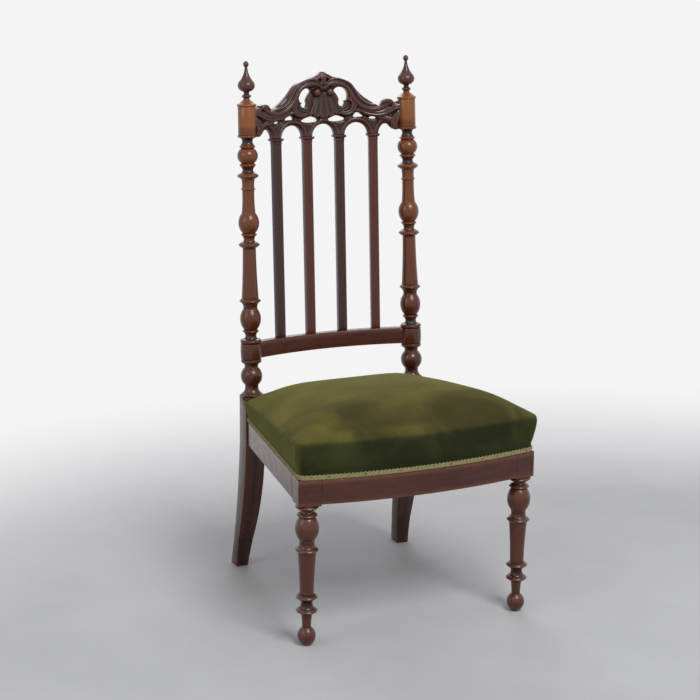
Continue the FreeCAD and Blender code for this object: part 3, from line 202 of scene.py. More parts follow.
# %% [markdown]
# An effect that several finishes share, such as the figure of the wood, is built once as a
# node group with named sockets and then used in each material with its own values. Every
# finish ends alike: a colour, a roughness and a fine bump go into the Principled shader.

# %% Groups and finishes


def new_group(name, inputs, outputs):
    """A shader node group with named sockets, and its two ends."""
    group = bpy.data.node_groups.new(name, "ShaderNodeTree")
    for in_out, sockets in (("INPUT", inputs), ("OUTPUT", outputs)):
        for title, kind in sockets:
            group.interface.new_socket(title, in_out=in_out, socket_type="NodeSocket" + kind)
    return group, group.nodes.new("NodeGroupInput"), group.nodes.new("NodeGroupOutput")


def use_group(tree, group, inputs):
    return put(tree, "Group", inputs, node_tree=group).outputs


def object_place(tree):
    return put(tree, "TexCoord").outputs["Object"]


def new_material(name):
    material = bpy.data.materials.new(name)
    material.use_nodes = True
    tree = material.node_tree
    return material, tree, tree.nodes["Principled BSDF"]


def dress(tree, shader, colour, rough, height, depth, strength, plain=None):
    """Link a colour, a roughness and a bump to the shader, and fill its plain sockets."""
    bump = put(tree, "Bump", {"Height": height, "Distance": depth, "Strength": strength})
    tree.links.new(colour, shader.inputs["Base Color"])
    tree.links.new(rough, shader.inputs["Roughness"])
    tree.links.new(bump.outputs["Normal"], shader.inputs["Normal"])
    for name, value in (plain or {}).items():
        shader.inputs[name].default_value = value


# %% [markdown]
# The floor is painted light grey round the chair and fades to a white room behind it. The
# fade is read from the floor's own coordinates, and only what the camera and the polish
# see turns white, so the lamps and the shadow stay as they are.

# %% Floor paint


WHITE_ROOM = {"Color": paint(246, 246, 247), "Strength": 0.98}
FADE_MIDDLE, FADE_FROM, FADE_TO = (0.1, -0.75, 0), 1.15, 2.3


def background_rays(tree):
    """1 for what the camera, a mirror or glass sees, and 0 for light on the object."""
    rays = put(tree, "LightPath").outputs
    seen = sums(tree, "ADD", rays["Is Camera Ray"], rays["Is Glossy Ray"])
    return sums(tree, "ADD", seen, rays["Is Transmission Ray"], clamp=True)


def blend_to_room(tree, share, near, end_kind):
    """Mix a plain look with the white room, and send it to the tree's output."""
    room_kind = "Emission" if end_kind == "OutputMaterial" else "Background"
    blend = put(tree, "MixShader")
    fill(tree, blend.inputs[0], share)
    tree.links.new(near.outputs[0], blend.inputs[1])
    tree.links.new(put(tree, room_kind, WHITE_ROOM).outputs[0], blend.inputs[2])
    tree.links.new(blend.outputs[0], put(tree, end_kind).inputs["Surface"])
    print(f"{end_kind}: {len(tree.nodes)} nodes")


floor_paint, tree, _ = new_material("pale_floor")
tree.nodes.clear()
place = object_place(tree)
from_middle = put(tree, "VectorMath", operation="DISTANCE")
fill(tree, from_middle.inputs[0], place)
from_middle.inputs[1].default_value = FADE_MIDDLE
fade = spread(tree, from_middle.outputs["Value"], FADE_FROM, FADE_TO)
scuffs = noise(tree, place, 2.2, 5, 0.6)
grey = mixed(tree, spread(tree, scuffs, 0.3, 0.7), paint(178, 179, 183), paint(186, 187, 190))
matt = put(tree, "BsdfDiffuse", {"Color": grey})
blend_to_room(tree, sums(tree, "MULTIPLY", fade, background_rays(tree)), matt,
              "OutputMaterial")
floor.data.materials.append(floor_paint)

# %% [markdown]
# The world lights the chair with an even, slightly warm glow, and shows the same white wall
# as the floor's far side to the camera and to the polish.

# %% The room's glow
world = bpy.data.worlds.new("pale_room")
bpy.context.scene.world = world
world.use_nodes = True
tree = world.node_tree
tree.nodes.clear()
glow = put(tree, "Background", {"Color": (0.96, 0.95, 0.94, 1), "Strength": 0.5})
blend_to_room(tree, background_rays(tree), glow, "OutputWorld")

# %% [markdown]
# Mahogany shows long fine streaks, broad bands of lighter and darker wood and short dark
# pores. All three run along the grain, so the group below takes a place in the board whose
# third axis is the grain, squeezes the patterns along it, and gives back a colour, a
# roughness and a height.

# %% Group: the figure of the wood
wood_figure, start, end = new_group(
    "wood_figure",
    [("Place", "Vector"), ("Dark", "Color"), ("Light", "Color"), ("Contrast", "Float")],
    [("Color", "Color"), ("Rough", "Float"), ("Height", "Float")])
tree = wood_figure
place = start.outputs["Place"]
streaks = noise(tree, scaled(tree, place, (1, 1, 0.05)), 160, 6, 0.6, 0.5)
bands = noise(tree, scaled(tree, place, (1, 1, 0.14)), 34, 4, 0.55, 1.6)
patches = noise(tree, scaled(tree, place, (1, 1, 0.5)), 9, 2)
pores = spread(tree, noise(tree, scaled(tree, place, (1, 1, 0.035)), 1100, 1),
               0.3, 0.42, 1.0, 0.0)
tone = sums(tree, "ADD", sums(tree, "MULTIPLY", streaks, 0.42),
            sums(tree, "MULTIPLY", bands, 0.42))
tone = sums(tree, "ADD", tone, sums(tree, "MULTIPLY", patches, 0.3))
tone = sums(tree, "MULTIPLY_ADD", sums(tree, "SUBTRACT", tone, 0.57),
            start.outputs["Contrast"])
tone.node.inputs[2].default_value = 0.5
colour = mixed(tree, spread(tree, tone, 0.0, 1.0), start.outputs["Dark"],
               start.outputs["Light"])
colour = mixed(tree, sums(tree, "MULTIPLY", pores, 0.4), colour, start.outputs["Dark"])
height = sums(tree, "SUBTRACT", sums(tree, "MULTIPLY", streaks, 0.3), pores)
tree.links.new(colour, end.inputs["Color"])
tree.links.new(spread(tree, streaks, 0.2, 0.8, 0.24, 0.36), end.inputs["Rough"])
tree.links.new(height, end.inputs["Height"])
print("wood_figure:", len(tree.nodes), "nodes")

# %% [markdown]
# A century and a half of polish and dusting darkens every hollow and rubs every edge, and
# the hollows also get painted shade. Each carved or turned piece below stores how hollow or
# proud each point is, from 0 on a sharp edge through 0.5 on flat wood to 1 in a deep groove,
# and this group turns that into darker hollows, with dull old polish and painted shade, and
# lighter, shinier edges.

# %% Group: old polish and painted shade in hollows, rubbed edges
wear_and_hollow_shade, start, end = new_group(
    "wear_and_hollow_shade",
    [("Color", "Color"), ("Relief", "Float"), ("Place", "Vector"), ("Grime_and_shade", "Color"),
     ("Rubbed", "Color"), ("Rough", "Float")],
    [("Color", "Color"), ("Rough", "Float")])
tree = wear_and_hollow_shade
blotch = noise(tree, start.outputs["Place"], 46, 4, 0.6)
relief = sums(tree, "ADD", start.outputs["Relief"],
              sums(tree, "MULTIPLY", sums(tree, "SUBTRACT", blotch, 0.5), 0.16))
# Hollows are darkened by old polish and by painted shade; rubbed edges turn lighter.
hollow = spread(tree, relief, 0.53, 0.74, 0.0, 0.85)
edge = spread(tree, relief, 0.30, 0.46, 0.7, 0.0)
colour = mixed(tree, hollow, start.outputs["Color"], start.outputs["Grime_and_shade"])
colour = mixed(tree, edge, colour, start.outputs["Rubbed"])
rough = sums(tree, "ADD", start.outputs["Rough"], sums(tree, "MULTIPLY", hollow, 0.22))
rough = sums(tree, "ADD", rough, spread(tree, blotch, 0.35, 0.7, -0.04, 0.07))
tree.links.new(colour, end.inputs["Color"])
tree.links.new(rough, end.inputs["Rough"])
print("wear_and_hollow_shade:", len(tree.nodes), "nodes")

# %% [markdown]
# One function makes every polished wood on the chair. Only three things change from piece
# to piece: the colours, the way the grain runs, and whether the piece stores its hollows.
# The polish itself is the Principled shader's clear coat.

# %% Polished woods
GRAIN_ORDER = {"x": ("Y", "Z", "X"), "y": ("Z", "X", "Y"), "z": ("X", "Y", "Z")}


def grain_place(tree, grain):
    """Object coordinates with their axes in a new order, so that the third is the grain."""
    apart = put(tree, "SeparateXYZ", {"Vector": object_place(tree)})
    together = put(tree, "CombineXYZ")
    for socket, axis in zip(together.inputs, GRAIN_ORDER[grain]):
        tree.links.new(apart.outputs[axis], socket)
    return together.outputs[0]


def stored(tree):
    """How hollow the surface is, as kept on the mesh by a later step."""
    return put(tree, "Attribute", attribute_name="relief").outputs["Fac"]


def polished_wood(name, dark, light, grime_and_shade, rubbed, grain="z", contrast=1.5, coat=0.45,
                  stored_relief=True, aged=()):
    """A wood. The last argument lists two heights in metres and the tint that grows between
    them.
    """
    material, tree, shader = new_material(name)
    place = grain_place(tree, grain)
    figure = use_group(tree, wood_figure, {"Place": place, "Dark": dark, "Light": light,
                                           "Contrast": contrast})
    colour, rough = figure["Color"], figure["Rough"]
    if stored_relief:
        worn = use_group(tree, wear_and_hollow_shade, {
            "Color": colour, "Relief": stored(tree), "Place": object_place(tree),
            "Grime_and_shade": grime_and_shade, "Rubbed": rubbed, "Rough": rough})
        colour, rough = worn["Color"], worn["Rough"]
    for low, high, tint in aged:
        height = put(tree, "SeparateXYZ", {"Vector": object_place(tree)}).outputs["Z"]
        tinted = mixed(tree, 1.0, colour, tint, how="MULTIPLY")
        colour = mixed(tree, spread(tree, height, low, high), colour, tinted)
    dress(tree, shader, colour, rough, figure["Height"], 0.00012, 0.5,
          {"Specular IOR Level": 0.2, "Coat Weight": coat, "Coat Roughness": 0.2})
    return material


# %% [markdown]
# The chair's woods differ in colour. The rails are red-brown, the turned posts are orange
# towards the top and darker towards the seat, the carved crest is dark, and every other slat
# is redder. The rear legs take the rails' colours made darker, as painted shade. So each
# group of pieces gets its own colours, with the grain along its length.

# %% The woods of this chair
rail_colours = dict(dark=paint(50, 21, 14), light=paint(84, 40, 28),
                    grime_and_shade=paint(26, 12, 10), rubbed=paint(104, 56, 40), coat=0.5)
mahogany_across = polished_wood("mahogany_across", grain="x", **rail_colours)
mahogany_along = polished_wood("mahogany_along", grain="y", **rail_colours)
# Painted shade: the rear legs take the rails' colours made darker, as for faces in shade under
# the seat.
sabre_shaded_colours = dict(rail_colours, dark=paint(32, 13, 10), light=paint(66, 30, 22),
                     rubbed=paint(84, 44, 32))
mahogany_upright_shaded = polished_wood("mahogany_upright_shaded", grain="z", **sabre_shaded_colours)
turned_mahogany = polished_wood(
    "turned_mahogany", paint(48, 21, 8), paint(128, 70, 22), paint(11, 5, 4),
    paint(136, 80, 34), contrast=1.9, coat=0.5,
    aged=[(0.86, 0.42, (0.46, 0.38, 0.42, 1)), (0.935, 0.925, (0.66, 0.54, 0.52, 1))])
turned_leg_mahogany = polished_wood(
    "turned_leg_mahogany", paint(34, 14, 9), paint(68, 30, 18), paint(12, 6, 5),
    paint(92, 48, 32), contrast=1.6, coat=0.5)
dark_mahogany = polished_wood(
    "dark_mahogany", paint(25, 10, 7), paint(56, 22, 15), paint(9, 5, 4),
    paint(84, 42, 32), grain="x", contrast=1.5, coat=0.55)
slat_dark_mahogany = polished_wood(
    "slat_dark_mahogany", paint(22, 9, 7), paint(50, 20, 14), paint(9, 5, 4),
    paint(62, 30, 24), grain="z", contrast=1.8, coat=0.45)
slat_red_mahogany = polished_wood(
    "slat_red_mahogany", paint(34, 12, 7), paint(84, 31, 18), paint(12, 5, 4),
    paint(84, 38, 24), grain="z", contrast=1.8, coat=0.45)
plain_beech = polished_wood(
    "plain_beech", paint(150, 112, 74), paint(196, 160, 116), paint(90, 62, 40),
    paint(210, 180, 140), grain="x", coat=0.0, stored_relief=False)
print("woods:", len([m for m in bpy.data.materials if "mahogany" in m.name]))

# %% [markdown]
# Every new piece ends the same way: it takes its material, rides on the chair's one body
# and, where it stands for imported nodes, hides them. Pieces are modelled with Blender's own
# operators, which act on whatever is selected, so each one starts by selecting nothing.

# %% Starting and finishing a piece


def start_clean():
    bpy.ops.object.select_all(action="DESELECT")


def only(piece):
    start_clean()
    piece.select_set(True)
    bpy.context.view_layer.objects.active = piece


def apply_modifier(piece, kind, **settings):
    only(piece)
    modifier = piece.modifiers.new(kind.lower(), kind)
    for name, value in settings.items():
        setattr(modifier, name, value)
    bpy.ops.object.modifier_apply(modifier=modifier.name)


def tidy_faces(piece):
    """Merge doubled points and turn every face outwards."""
    only(piece)
    bpy.ops.object.mode_set(mode="EDIT")
    bpy.ops.mesh.select_all(action="SELECT")
    bpy.ops.mesh.remove_doubles(threshold=0.00002)
    bpy.ops.mesh.normals_make_consistent(inside=False)
    bpy.ops.object.mode_set(mode="OBJECT")


def soften_edges(piece, width, segments=2, angle=30):
    apply_modifier(piece, "BEVEL", width=width * MM, segments=segments, limit_method="ANGLE",
                   angle_limit=math.radians(angle), harden_normals=False)
    smooth_by_angle(piece, 38)


def smooth_by_angle(piece, degrees):
    only(piece)
    bpy.ops.object.shade_smooth_by_angle(angle=math.radians(degrees))


def finish(piece, material, slot, *replaced):
    if material:
        piece.data.materials.clear()
        piece.data.materials.append(material)
    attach(piece, "root")
    if replaced:
        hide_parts(*replaced)
    print(f"{piece.name}: {len(piece.data.polygons)} faces")


def other_side(piece, name):
    """A mirrored copy for the left of the chair, with its own mesh and its faces outwards."""
    copy = piece.copy()
    copy.data = piece.data.copy()
    copy.name = name
    bpy.context.collection.objects.link(copy)
    copy.data.transform(Matrix.Scale(-1, 4, (1, 0, 0)))
    copy.data.flip_normals()
    return copy


# %% [markdown]
# The worn look and the painted shade in the hollows need to know how hollow each point is.
# A mesh that is smoothed over and over shrinks away from its edges and fills its grooves, so
# the distance from a point to its smoothed place, along the normal, is a good measure. It is
# kept on the mesh as an attribute that the materials read.

# %% Store how hollow each point is


def mesh_points(mesh, what="co"):
    """The places of a mesh's points as rows, or with "normal" their normals."""
    values = np.empty(len(mesh.vertices) * 3)
    mesh.vertices.foreach_get(what, values)
    return values.reshape(-1, 3)


def move_points(mesh, points):
    mesh.vertices.foreach_set("co", points.astype(np.float32).ravel())
    mesh.update()


def neighbours_mean(places, edges, count):
    total = np.zeros((len(places), 3))
    for axis in range(3):
        total[:, axis] = (np.bincount(edges[:, 0], places[edges[:, 1], axis], len(places))
                          + np.bincount(edges[:, 1], places[edges[:, 0], axis], len(places)))
    return total / count[:, None]


def store_relief(piece, rounds, reach):
    """Keep 0 on an edge, 0.5 on the flat and 1 in a groove, reach millimetres deep."""
    mesh = piece.data
    places, normals = mesh_points(mesh), mesh_points(mesh, "normal")
    edges = np.empty(len(mesh.edges) * 2, dtype=np.int64)
    mesh.edges.foreach_get("vertices", edges)
    edges = edges.reshape(-1, 2)
    count = np.maximum(np.bincount(edges.ravel(), minlength=len(places)), 1)
    smooth = places.copy()
    for _ in range(rounds):
        smooth = 0.4 * smooth + 0.6 * neighbours_mean(smooth, edges, count)
    depth = np.einsum("ij,ij->i", smooth - places, normals)
    relief = np.clip(0.5 + depth / (2 * reach * MM), 0, 1)
    layer = mesh.attributes.new("relief", "FLOAT", "POINT")
    layer.data.foreach_set("value", relief.astype(np.float32))


# %% [markdown]
# The posts, legs and finials were turned on a lathe. A turner works from a list of beads,
# coves and balls up the piece, so the lists below give each part's name, its length, its
# diameter at mid-length (0 where the side is straight) and the diameter where it ends. A
# part with no length is a square shoulder, and a ring stands between two of them.

# %% The turner's lists
SHARP_FROM = 7.0


def ring(name, long, wide):
    """A ring with its lower shoulder. The longer ones taper to a narrow rim."""
    edge = wide - (1.1 if long > SHARP_FROM else 0.84) * long
    return [(name + "_shoulder", 0, 0, edge), (name, long, wide, edge)]


LEG_START = 12.0
LEG = [
    ("foot_ball", 36.0, 35.2, 17.0), ("ankle", 29.5, 18.5, 22.0),
    *ring("low_ring", 9.2, 42.3), ("low_neck_foot", 0, 0, 30.0),
    ("low_neck", 18.0, 22.3, 30.0), *ring("knee_ring", 9.2, 42.5),
    ("shaft_foot", 0, 0, 27.0), ("shaft", 85.5, 29.6, 35.5),
    *ring("collar", 9.6, 45.6), ("waist_foot", 0, 0, 34.0), ("waist", 15.4, 28.5, 31.0),
    ("vase", 44.5, 45.8, 31.0), *ring("vase_ring", 8.4, 40.0),
    ("top_neck_foot", 0, 0, 32.0), ("top_neck", 8.0, 24.0, 34.0),
    *ring("top_ring", 8.6, 45.5),
]
POST_START = 36.0
POST = [
    *ring("base_ring", 7.2, 46.5), ("base_flare_foot", 0, 0, 38.0),
    ("base_flare", 17.5, 28.0, 29.0), ("bulb_low", 34.5, 44.2, 29.0),
    ("low_neck", 9.8, 28.0, 33.0), *ring("rail_ring_low", 9.2, 42.5),
    ("barrel_foot", 0, 0, 41.5), ("barrel", 31.4, 43.2, 41.5),
    *ring("rail_ring_top", 9.2, 43.8), ("mid_neck_foot", 0, 0, 28.0),
    ("mid_neck", 11.8, 22.5, 26.0), *ring("vase_foot_ring", 8.6, 33.5),
    ("vase_foot", 0, 0, 28.5), ("vase", 41.0, 42.6, 29.5), ("vase_neck", 11.8, 29.0, 34.0),
    *ring("shaft_ring", 10.6, 44.0), ("shaft_foot", 0, 0, 34.5),
    ("shaft", 103.6, 29.2, 27.0), *ring("high_ring", 10.6, 43.6),
    ("high_neck_foot", 0, 0, 26.0), ("high_neck", 11.0, 22.0, 26.0),
    *ring("bulb_foot_ring", 8.4, 32.6), ("bulb_foot", 0, 0, 28.0),
    ("bulb", 39.2, 42.2, 28.0), ("upper_shaft", 46.8, 24.8, 24.6),
    *ring("thin_ring", 3.8, 29.4), ("collar_foot", 0, 0, 25.0),
    ("collar_foot_shaft", 19.1, 24.8, 28.0), *ring("collar", 11.0, 44.0),
    ("collar_neck_foot", 0, 0, 28.0), ("collar_neck", 11.9, 21.4, 28.0),
    *ring("ball_foot_ring", 8.2, 34.0), ("ball_foot", 0, 0, 27.0),
    ("ball", 28.8, 41.4, 27.0), *ring("ball_cap_ring", 7.6, 33.0),
    ("block_neck_foot", 0, 0, 27.0), ("block_neck", 14.3, 20.9, 31.0),
    *ring("block_foot_ring", 5.4, 39.2), ("block_foot", 0, 0, 36.0),
    ("block", 56.2, 0, 36.0), *ring("block_cap_ring", 5.6, 39.8), ("cap", 7.0, 25.0, 17.0),
]
FINIAL_START = 15.0
FINIAL = [
    ("seat", 4.6, 12.4, 13.0), *ring("bead", 6.8, 18.8), ("neck_foot", 0, 0, 12.6),
    ("neck", 5.4, 10.6, 15.0), ("bulb", 22.0, 34.4, 25.0), ("spire", 26.0, 10.8, 5.2),
    ("tip", 12.2, 11.2, 2.0),
]


def height_of(rows, upto=None):
    """How far up its piece a row starts."""
    total = 0.0
    for name, long, _, _ in rows:
        if name == upto:
            break
        total += long
    return total


for title, rows in (("leg", LEG), ("post", POST), ("finial", FINIAL)):
    print(f"{title}: {len(rows)} rows, {height_of(rows):.1f} mm long")

# %% [markdown]
# From the list comes the profile, a chain of points from the foot to the top. A curved row
# is the arc through its two ends and its middle. On the lathe the chain is extruded point
# by point in edit mode and spun once round the axis, and a small bevel takes the sharpness
# off every shoulder, as sandpaper does.

# %% A lathe


def arc_through(first, middle, last, steps):
    """Points along the circle through three places, after the first and up to the last."""
    (x1, y1), (x2, y2), (x3, y3) = first, middle, last
    turn = 2 * (x1 * (y2 - y3) + x2 * (y3 - y1) + x3 * (y1 - y2))
    if abs(turn) < 1e-6:
        return [(x1 + (x3 - x1) * n / steps, y1 + (y3 - y1) * n / steps)
                for n in range(1, steps + 1)]
    squares = [x1 * x1 + y1 * y1, x2 * x2 + y2 * y2, x3 * x3 + y3 * y3]
    cx = (squares[0] * (y2 - y3) + squares[1] * (y3 - y1) + squares[2] * (y1 - y2)) / turn
    cy = (squares[0] * (x3 - x2) + squares[1] * (x1 - x3) + squares[2] * (x2 - x1)) / turn
    radius = math.hypot(x1 - cx, y1 - cy)
    a1, a2, a3 = (math.atan2(y - cy, x - cx) for x, y in (first, middle, last))
    sweep = (a3 - a1) % (2 * math.pi)
    if (a2 - a1) % (2 * math.pi) > sweep:
        sweep -= 2 * math.pi
    return [(cx + radius * math.cos(a1 + sweep * n / steps),
             cy + radius * math.sin(a1 + sweep * n / steps)) for n in range(1, steps + 1)]


def rim_over(first, peak, last, steps):
    """Points over a ring whose flanks run nearly straight up to a narrow rim."""
    (r0, h0), (r1, h1) = first, last
    points = []
    for n in range(1, steps + 1):
        share = n / steps
        base = r0 + (r1 - r0) * share
        swell = 1 - abs(2 * share - 1) ** 1.3
        points.append((base + (peak - base) * swell, h0 + (h1 - h0) * share))
    return points


def profile(rows, start):
    """The half outline of a turned piece, as (radius, height) in millimetres."""
    line = [(0.0, 0.0), (start / 2, 0.0)]
    height = 0.0
    for name, long, middle, end in rows:
        if middle and long > SHARP_FROM and name.endswith(("ring", "collar")):
            line += rim_over(line[-1], middle / 2, (end / 2, height + long), 8)
        elif middle:
            steps = max(5, min(16, round(long / 2.2)))
            line += arc_through(line[-1], (middle / 2, height + long / 2),
                                (end / 2, height + long), steps)
        else:
            line.append((end / 2, height + long))
        height += long
    line.append((0.0, height))
    return line


def turned(name, rows, start, steps=48, edge=0.45):
    line = profile(rows, start)
    start_clean()
    bpy.ops.mesh.primitive_plane_add(size=MM, location=(0, 0, 0))
    piece = bpy.context.object
    piece.name = name
    bpy.ops.object.mode_set(mode="EDIT")
    bpy.ops.mesh.merge(type="CENTER")
    for (r0, z0), (r1, z1) in zip(line, line[1:]):
        bpy.ops.mesh.extrude_region_move(
            TRANSFORM_OT_translate={"value": ((r1 - r0) * MM, 0, (z1 - z0) * MM)})
    bpy.ops.mesh.select_all(action="SELECT")
    bpy.ops.mesh.spin(steps=steps, angle=2 * math.pi, center=(0, 0, 0), axis=(0, 0, 1))
    bpy.ops.object.mode_set(mode="OBJECT")
    tidy_faces(piece)
    soften_edges(piece, edge, angle=28)
    store_relief(piece, 60, 1.6)
    return piece


# %% [markdown]
# The back leans, so what stands in it is drawn upright first and then put in place by one
# matrix: a lean about the X axis, and for the posts a slight toe-in as well.

# %% The frame of the leaning back
SEAT_FRONT, SEAT_REAR, SEAT_DEPTH, SEAT_BOW = 249.7, 197.0, 396.5, 28.5
LEG_FROM_SIDE, LEG_FROM_FRONT, LEG_FILLET = 23.7, 14.5, 3.4
RAIL_HIGH, POST_BLOCK_HIGH, POST_AT_FLOOR, BACK_AHEAD = 48, 50, 184.6, 9.3
RAIL_FOOT = height_of(LEG) + LEG_FILLET
RAIL_TOP = RAIL_FOOT + RAIL_HIGH
POST_TOP = RAIL_TOP + POST_BLOCK_HIGH
LEAN = math.radians(3.65)
TOE = math.radians(0.5)
POST_BASE = POST_TOP / math.cos(LEAN)

back = Matrix.Translation(spot(0, -BACK_AHEAD, 0)) @ Matrix.Rotation(-LEAN, 4, "X")


def post_axis_x(height):
    return POST_AT_FLOOR - math.tan(TOE) * height


post_place = (back @ Matrix.Translation((post_axis_x(POST_BASE) * MM, 0, POST_BASE * MM))
              @ Matrix.Rotation(-TOE, 4, "Y"))
finial_place = post_place @ Matrix.Translation((0, 0, height_of(POST) * MM))
leg_place = Matrix.Translation(spot(SEAT_FRONT - LEG_FROM_SIDE,
                                    LEG_FROM_FRONT - SEAT_DEPTH, 0))
print(f"rail foot {RAIL_FOOT:.1f}, rail top {RAIL_TOP:.1f}, post starts at {POST_BASE:.1f} mm")

# %% [markdown]
# One post, one leg and one finial are turned and set in their places, each by its own
# matrix. The chair is symmetric, so the left ones are mirrored copies. The post's and the
# leg's turnings wait for their square parts before they are copied.

# %% Turn the posts, legs and finials
post_turning = turned("rear_post_turning", POST, POST_START)
post_turning.data.transform(post_place)
leg_turning = turned("front_leg_turning", LEG, LEG_START)
leg_turning.data.transform(leg_place)
finial_right = turned("turned_finial_right", FINIAL, FINIAL_START, steps=40, edge=0.3)
finial_right.data.transform(finial_place)
finial_left = other_side(finial_right, "turned_finial_left")
finish(finial_right, dark_mahogany, "dark_mahogany", "finial_right")
finish(finial_left, dark_mahogany, "dark_mahogany", "finial_left")

# %% [markdown]
# Rails, blocks and slats are sawn wood. They start as a filled circle whose points are
# moved to the corners of the piece's outline. It is then extruded, ring after ring, to the
# outlines above it, and the bevel rounds the edges as a plane and a scraper would.

# %% A helper for sawn pieces


def raised(name, rings):
    """Extrude a filled outline through a list of rings, each with the same points."""
    start_clean()
    bpy.ops.mesh.primitive_circle_add(vertices=len(rings[0]), radius=1, fill_type="NGON",
                                      location=(0, 0, 0))
    piece = bpy.context.object
    piece.name = name
    bpy.ops.object.mode_set(mode="EDIT")
    shape = bmesh.from_edit_mesh(piece.data)
    shape.verts.ensure_lookup_table()
    for vertex, place in zip(shape.verts, rings[0]):
        vertex.co = place
    bmesh.update_edit_mesh(piece.data)
    for low, high in zip(rings, rings[1:]):
        bpy.ops.mesh.extrude_region_move()
        shape = bmesh.from_edit_mesh(piece.data)
        moved = [vertex for vertex in shape.verts if vertex.select]
        corners = kdtree.KDTree(len(low))
        for number, place in enumerate(low):
            corners.insert(place, number)
        corners.balance()
        for vertex in moved:
            vertex.co = high[corners.find(vertex.co)[1]]
        bmesh.update_edit_mesh(piece.data)
    bpy.ops.object.mode_set(mode="OBJECT")
    tidy_faces(piece)
    return piece


def joined(name, *parts):
    """Several meshes as one piece."""
    start_clean()
    for part in parts:
        part.select_set(True)
    bpy.context.view_layer.objects.active = parts[0]
    bpy.ops.object.join()
    parts[0].name = name
    return parts[0]


# %% [markdown]
# The rear leg is one with its post. Below the turning it is a square block, and below the
# rail it sweeps back as a sabre leg that also tapers on its inner side. Its corners are
# read at a row of heights from the same curves as in the drawing.

# %% Rear legs and posts
POST_INNER, POST_OUTER, POST_DEEP = 158.0, 200.0, 37.5


def curve_at(height, ends):
    """A smooth curve through three (height, value) places, read at a height."""
    (h0, v0), (h1, v1), (h2, v2) = ends
    return (v0 * (height - h1) * (height - h2) / ((h0 - h1) * (h0 - h2))
            + v1 * (height - h0) * (height - h2) / ((h1 - h0) * (h1 - h2))
            + v2 * (height - h0) * (height - h1) / ((h2 - h0) * (h2 - h1)))


def leg_corners(height):
    """The rear leg's four corners at a height: front, inner and outer sides, and rear."""
    if height >= RAIL_FOOT:
        front, rear = 0.0, POST_DEEP
    else:
        if height > 62:
            front = curve_at(height, ((RAIL_FOOT, 0), (171, 15), (62, 46.9)))
        else:
            front = curve_at(height, ((62, 46.9), (31, 53.5), (0, 57.5)))
        rear = curve_at(height, ((RAIL_FOOT + 5, POST_DEEP), (143, POST_DEEP + 18.3),
                                 (0, POST_DEEP + 53)))
        rear = max(rear, POST_DEEP)
    inner = POST_INNER
    if height < 245:
        inner += curve_at(height, ((245, 0), (122.5, 3.6), (0, 16.7)))
    return [spot(x, y, height) for x, y in ((inner, front), (POST_OUTER, front),
                                            (POST_OUTER, rear), (inner, rear))]


heights = [0, 15, 31, 46, 62, 80, 98, 116, 134, 152, 171, 190, 209, 228, 245, 260, 274,
           RAIL_FOOT, RAIL_TOP, POST_TOP - 1.2, POST_TOP]
rear_leg = raised("rear_leg_blank", [leg_corners(height) for height in heights])
soften_edges(rear_leg, 1.3, segments=3, angle=45)
apply_modifier(rear_leg, "SUBSURF", levels=1, render_levels=1, subdivision_type="SIMPLE")
store_relief(rear_leg, 12, 2.5)
rear_leg.data.materials.append(mahogany_upright_shaded)
post_turning.data.materials.append(turned_mahogany)
post_right = joined("dressed_post_right", rear_leg, post_turning)
post_left = other_side(post_right, "dressed_post_left")
finish(post_right, None, "turned_mahogany", "rear_post_right")
finish(post_left, None, "turned_mahogany", "rear_post_left")

# %% [markdown]
# The front rail and the fronts of the leg blocks follow one gentle bow, and above their
# show wood all the rails step back by the thickness of the cover and its braid. The plan of
# each piece comes from the same two functions: half the seat's width at a depth, and the
# bow's depth at a width.

# %% The seat's plan
RAIL_THICK, TACK_REBATE, STRIP_HIGH = 26.0, 4.0, 14.0
BLOCK_WIDE, BLOCK_DEEP = 43.7, 43.5
INNER_X = SEAT_FRONT - BLOCK_WIDE
BLOCK_BACK = BLOCK_DEEP - SEAT_DEPTH
BOW_RADIUS = (SEAT_FRONT ** 2 + SEAT_BOW ** 2) / (2 * SEAT_BOW)
print(f"the front's bow has a radius of {BOW_RADIUS:.0f} mm")


def side_x(y, inset=0.0):
    return SEAT_REAR + (SEAT_FRONT - SEAT_REAR) * -y / SEAT_DEPTH - inset


def bow_y(x, inset=0.0):
    reach = BOW_RADIUS - inset
    return BOW_RADIUS - SEAT_DEPTH - SEAT_BOW - math.sqrt(reach * reach - x * x)


def rail_rings(plan):
    """Show wood up to the rail's top, then the strip for the tacks, set back by a rebate."""
    levels = ((0.0, RAIL_FOOT), (0.0, RAIL_TOP), (TACK_REBATE, RAIL_TOP),
              (TACK_REBATE, RAIL_TOP + STRIP_HIGH))
    return [[spot(x, y, height) for x, y in plan(inset)] for inset, height in levels]


def front_rail_plan(inset):
    across = np.linspace(-INNER_X, INNER_X, 25)
    return ([(x, bow_y(x, inset)) for x in across]
            + [(x, bow_y(x, RAIL_THICK)) for x in across[::-1]])


def side_rail_plan(inset):
    along = np.linspace(BLOCK_BACK, 0, 9)
    return ([(side_x(y, inset), y) for y in along]
            + [(side_x(y, RAIL_THICK), y) for y in along[::-1]])


def leg_block_plan(inset, corner=0.0):
    """The block seen from above. Its outer corner may be rounded, as under the cover."""
    front_x = side_x(-SEAT_DEPTH, inset)
    elbow = Vector((front_x, bow_y(front_x, inset)))
    rounding = [tuple(elbow)]
    if corner:
        along = Vector((side_x(elbow.y + corner, inset), elbow.y + corner))
        across = Vector((front_x - corner, bow_y(front_x - corner, inset)))
        rounding = [tuple(along.lerp(elbow, share).lerp(elbow.lerp(across, share), share))
                    for share in np.linspace(0, 1, 7)]
    front = np.linspace(front_x - corner, INNER_X, 5)[1:]
    return (rounding + [(x, bow_y(x, inset)) for x in front]
            + [(INNER_X, BLOCK_BACK), (side_x(BLOCK_BACK, inset), BLOCK_BACK)])


def back_rail_plan(inset):
    half = POST_INNER
    return [(-half, SEAT_TAIL - RAIL_THICK), (half, SEAT_TAIL - RAIL_THICK),
            (half, SEAT_TAIL - inset), (-half, SEAT_TAIL - inset)]
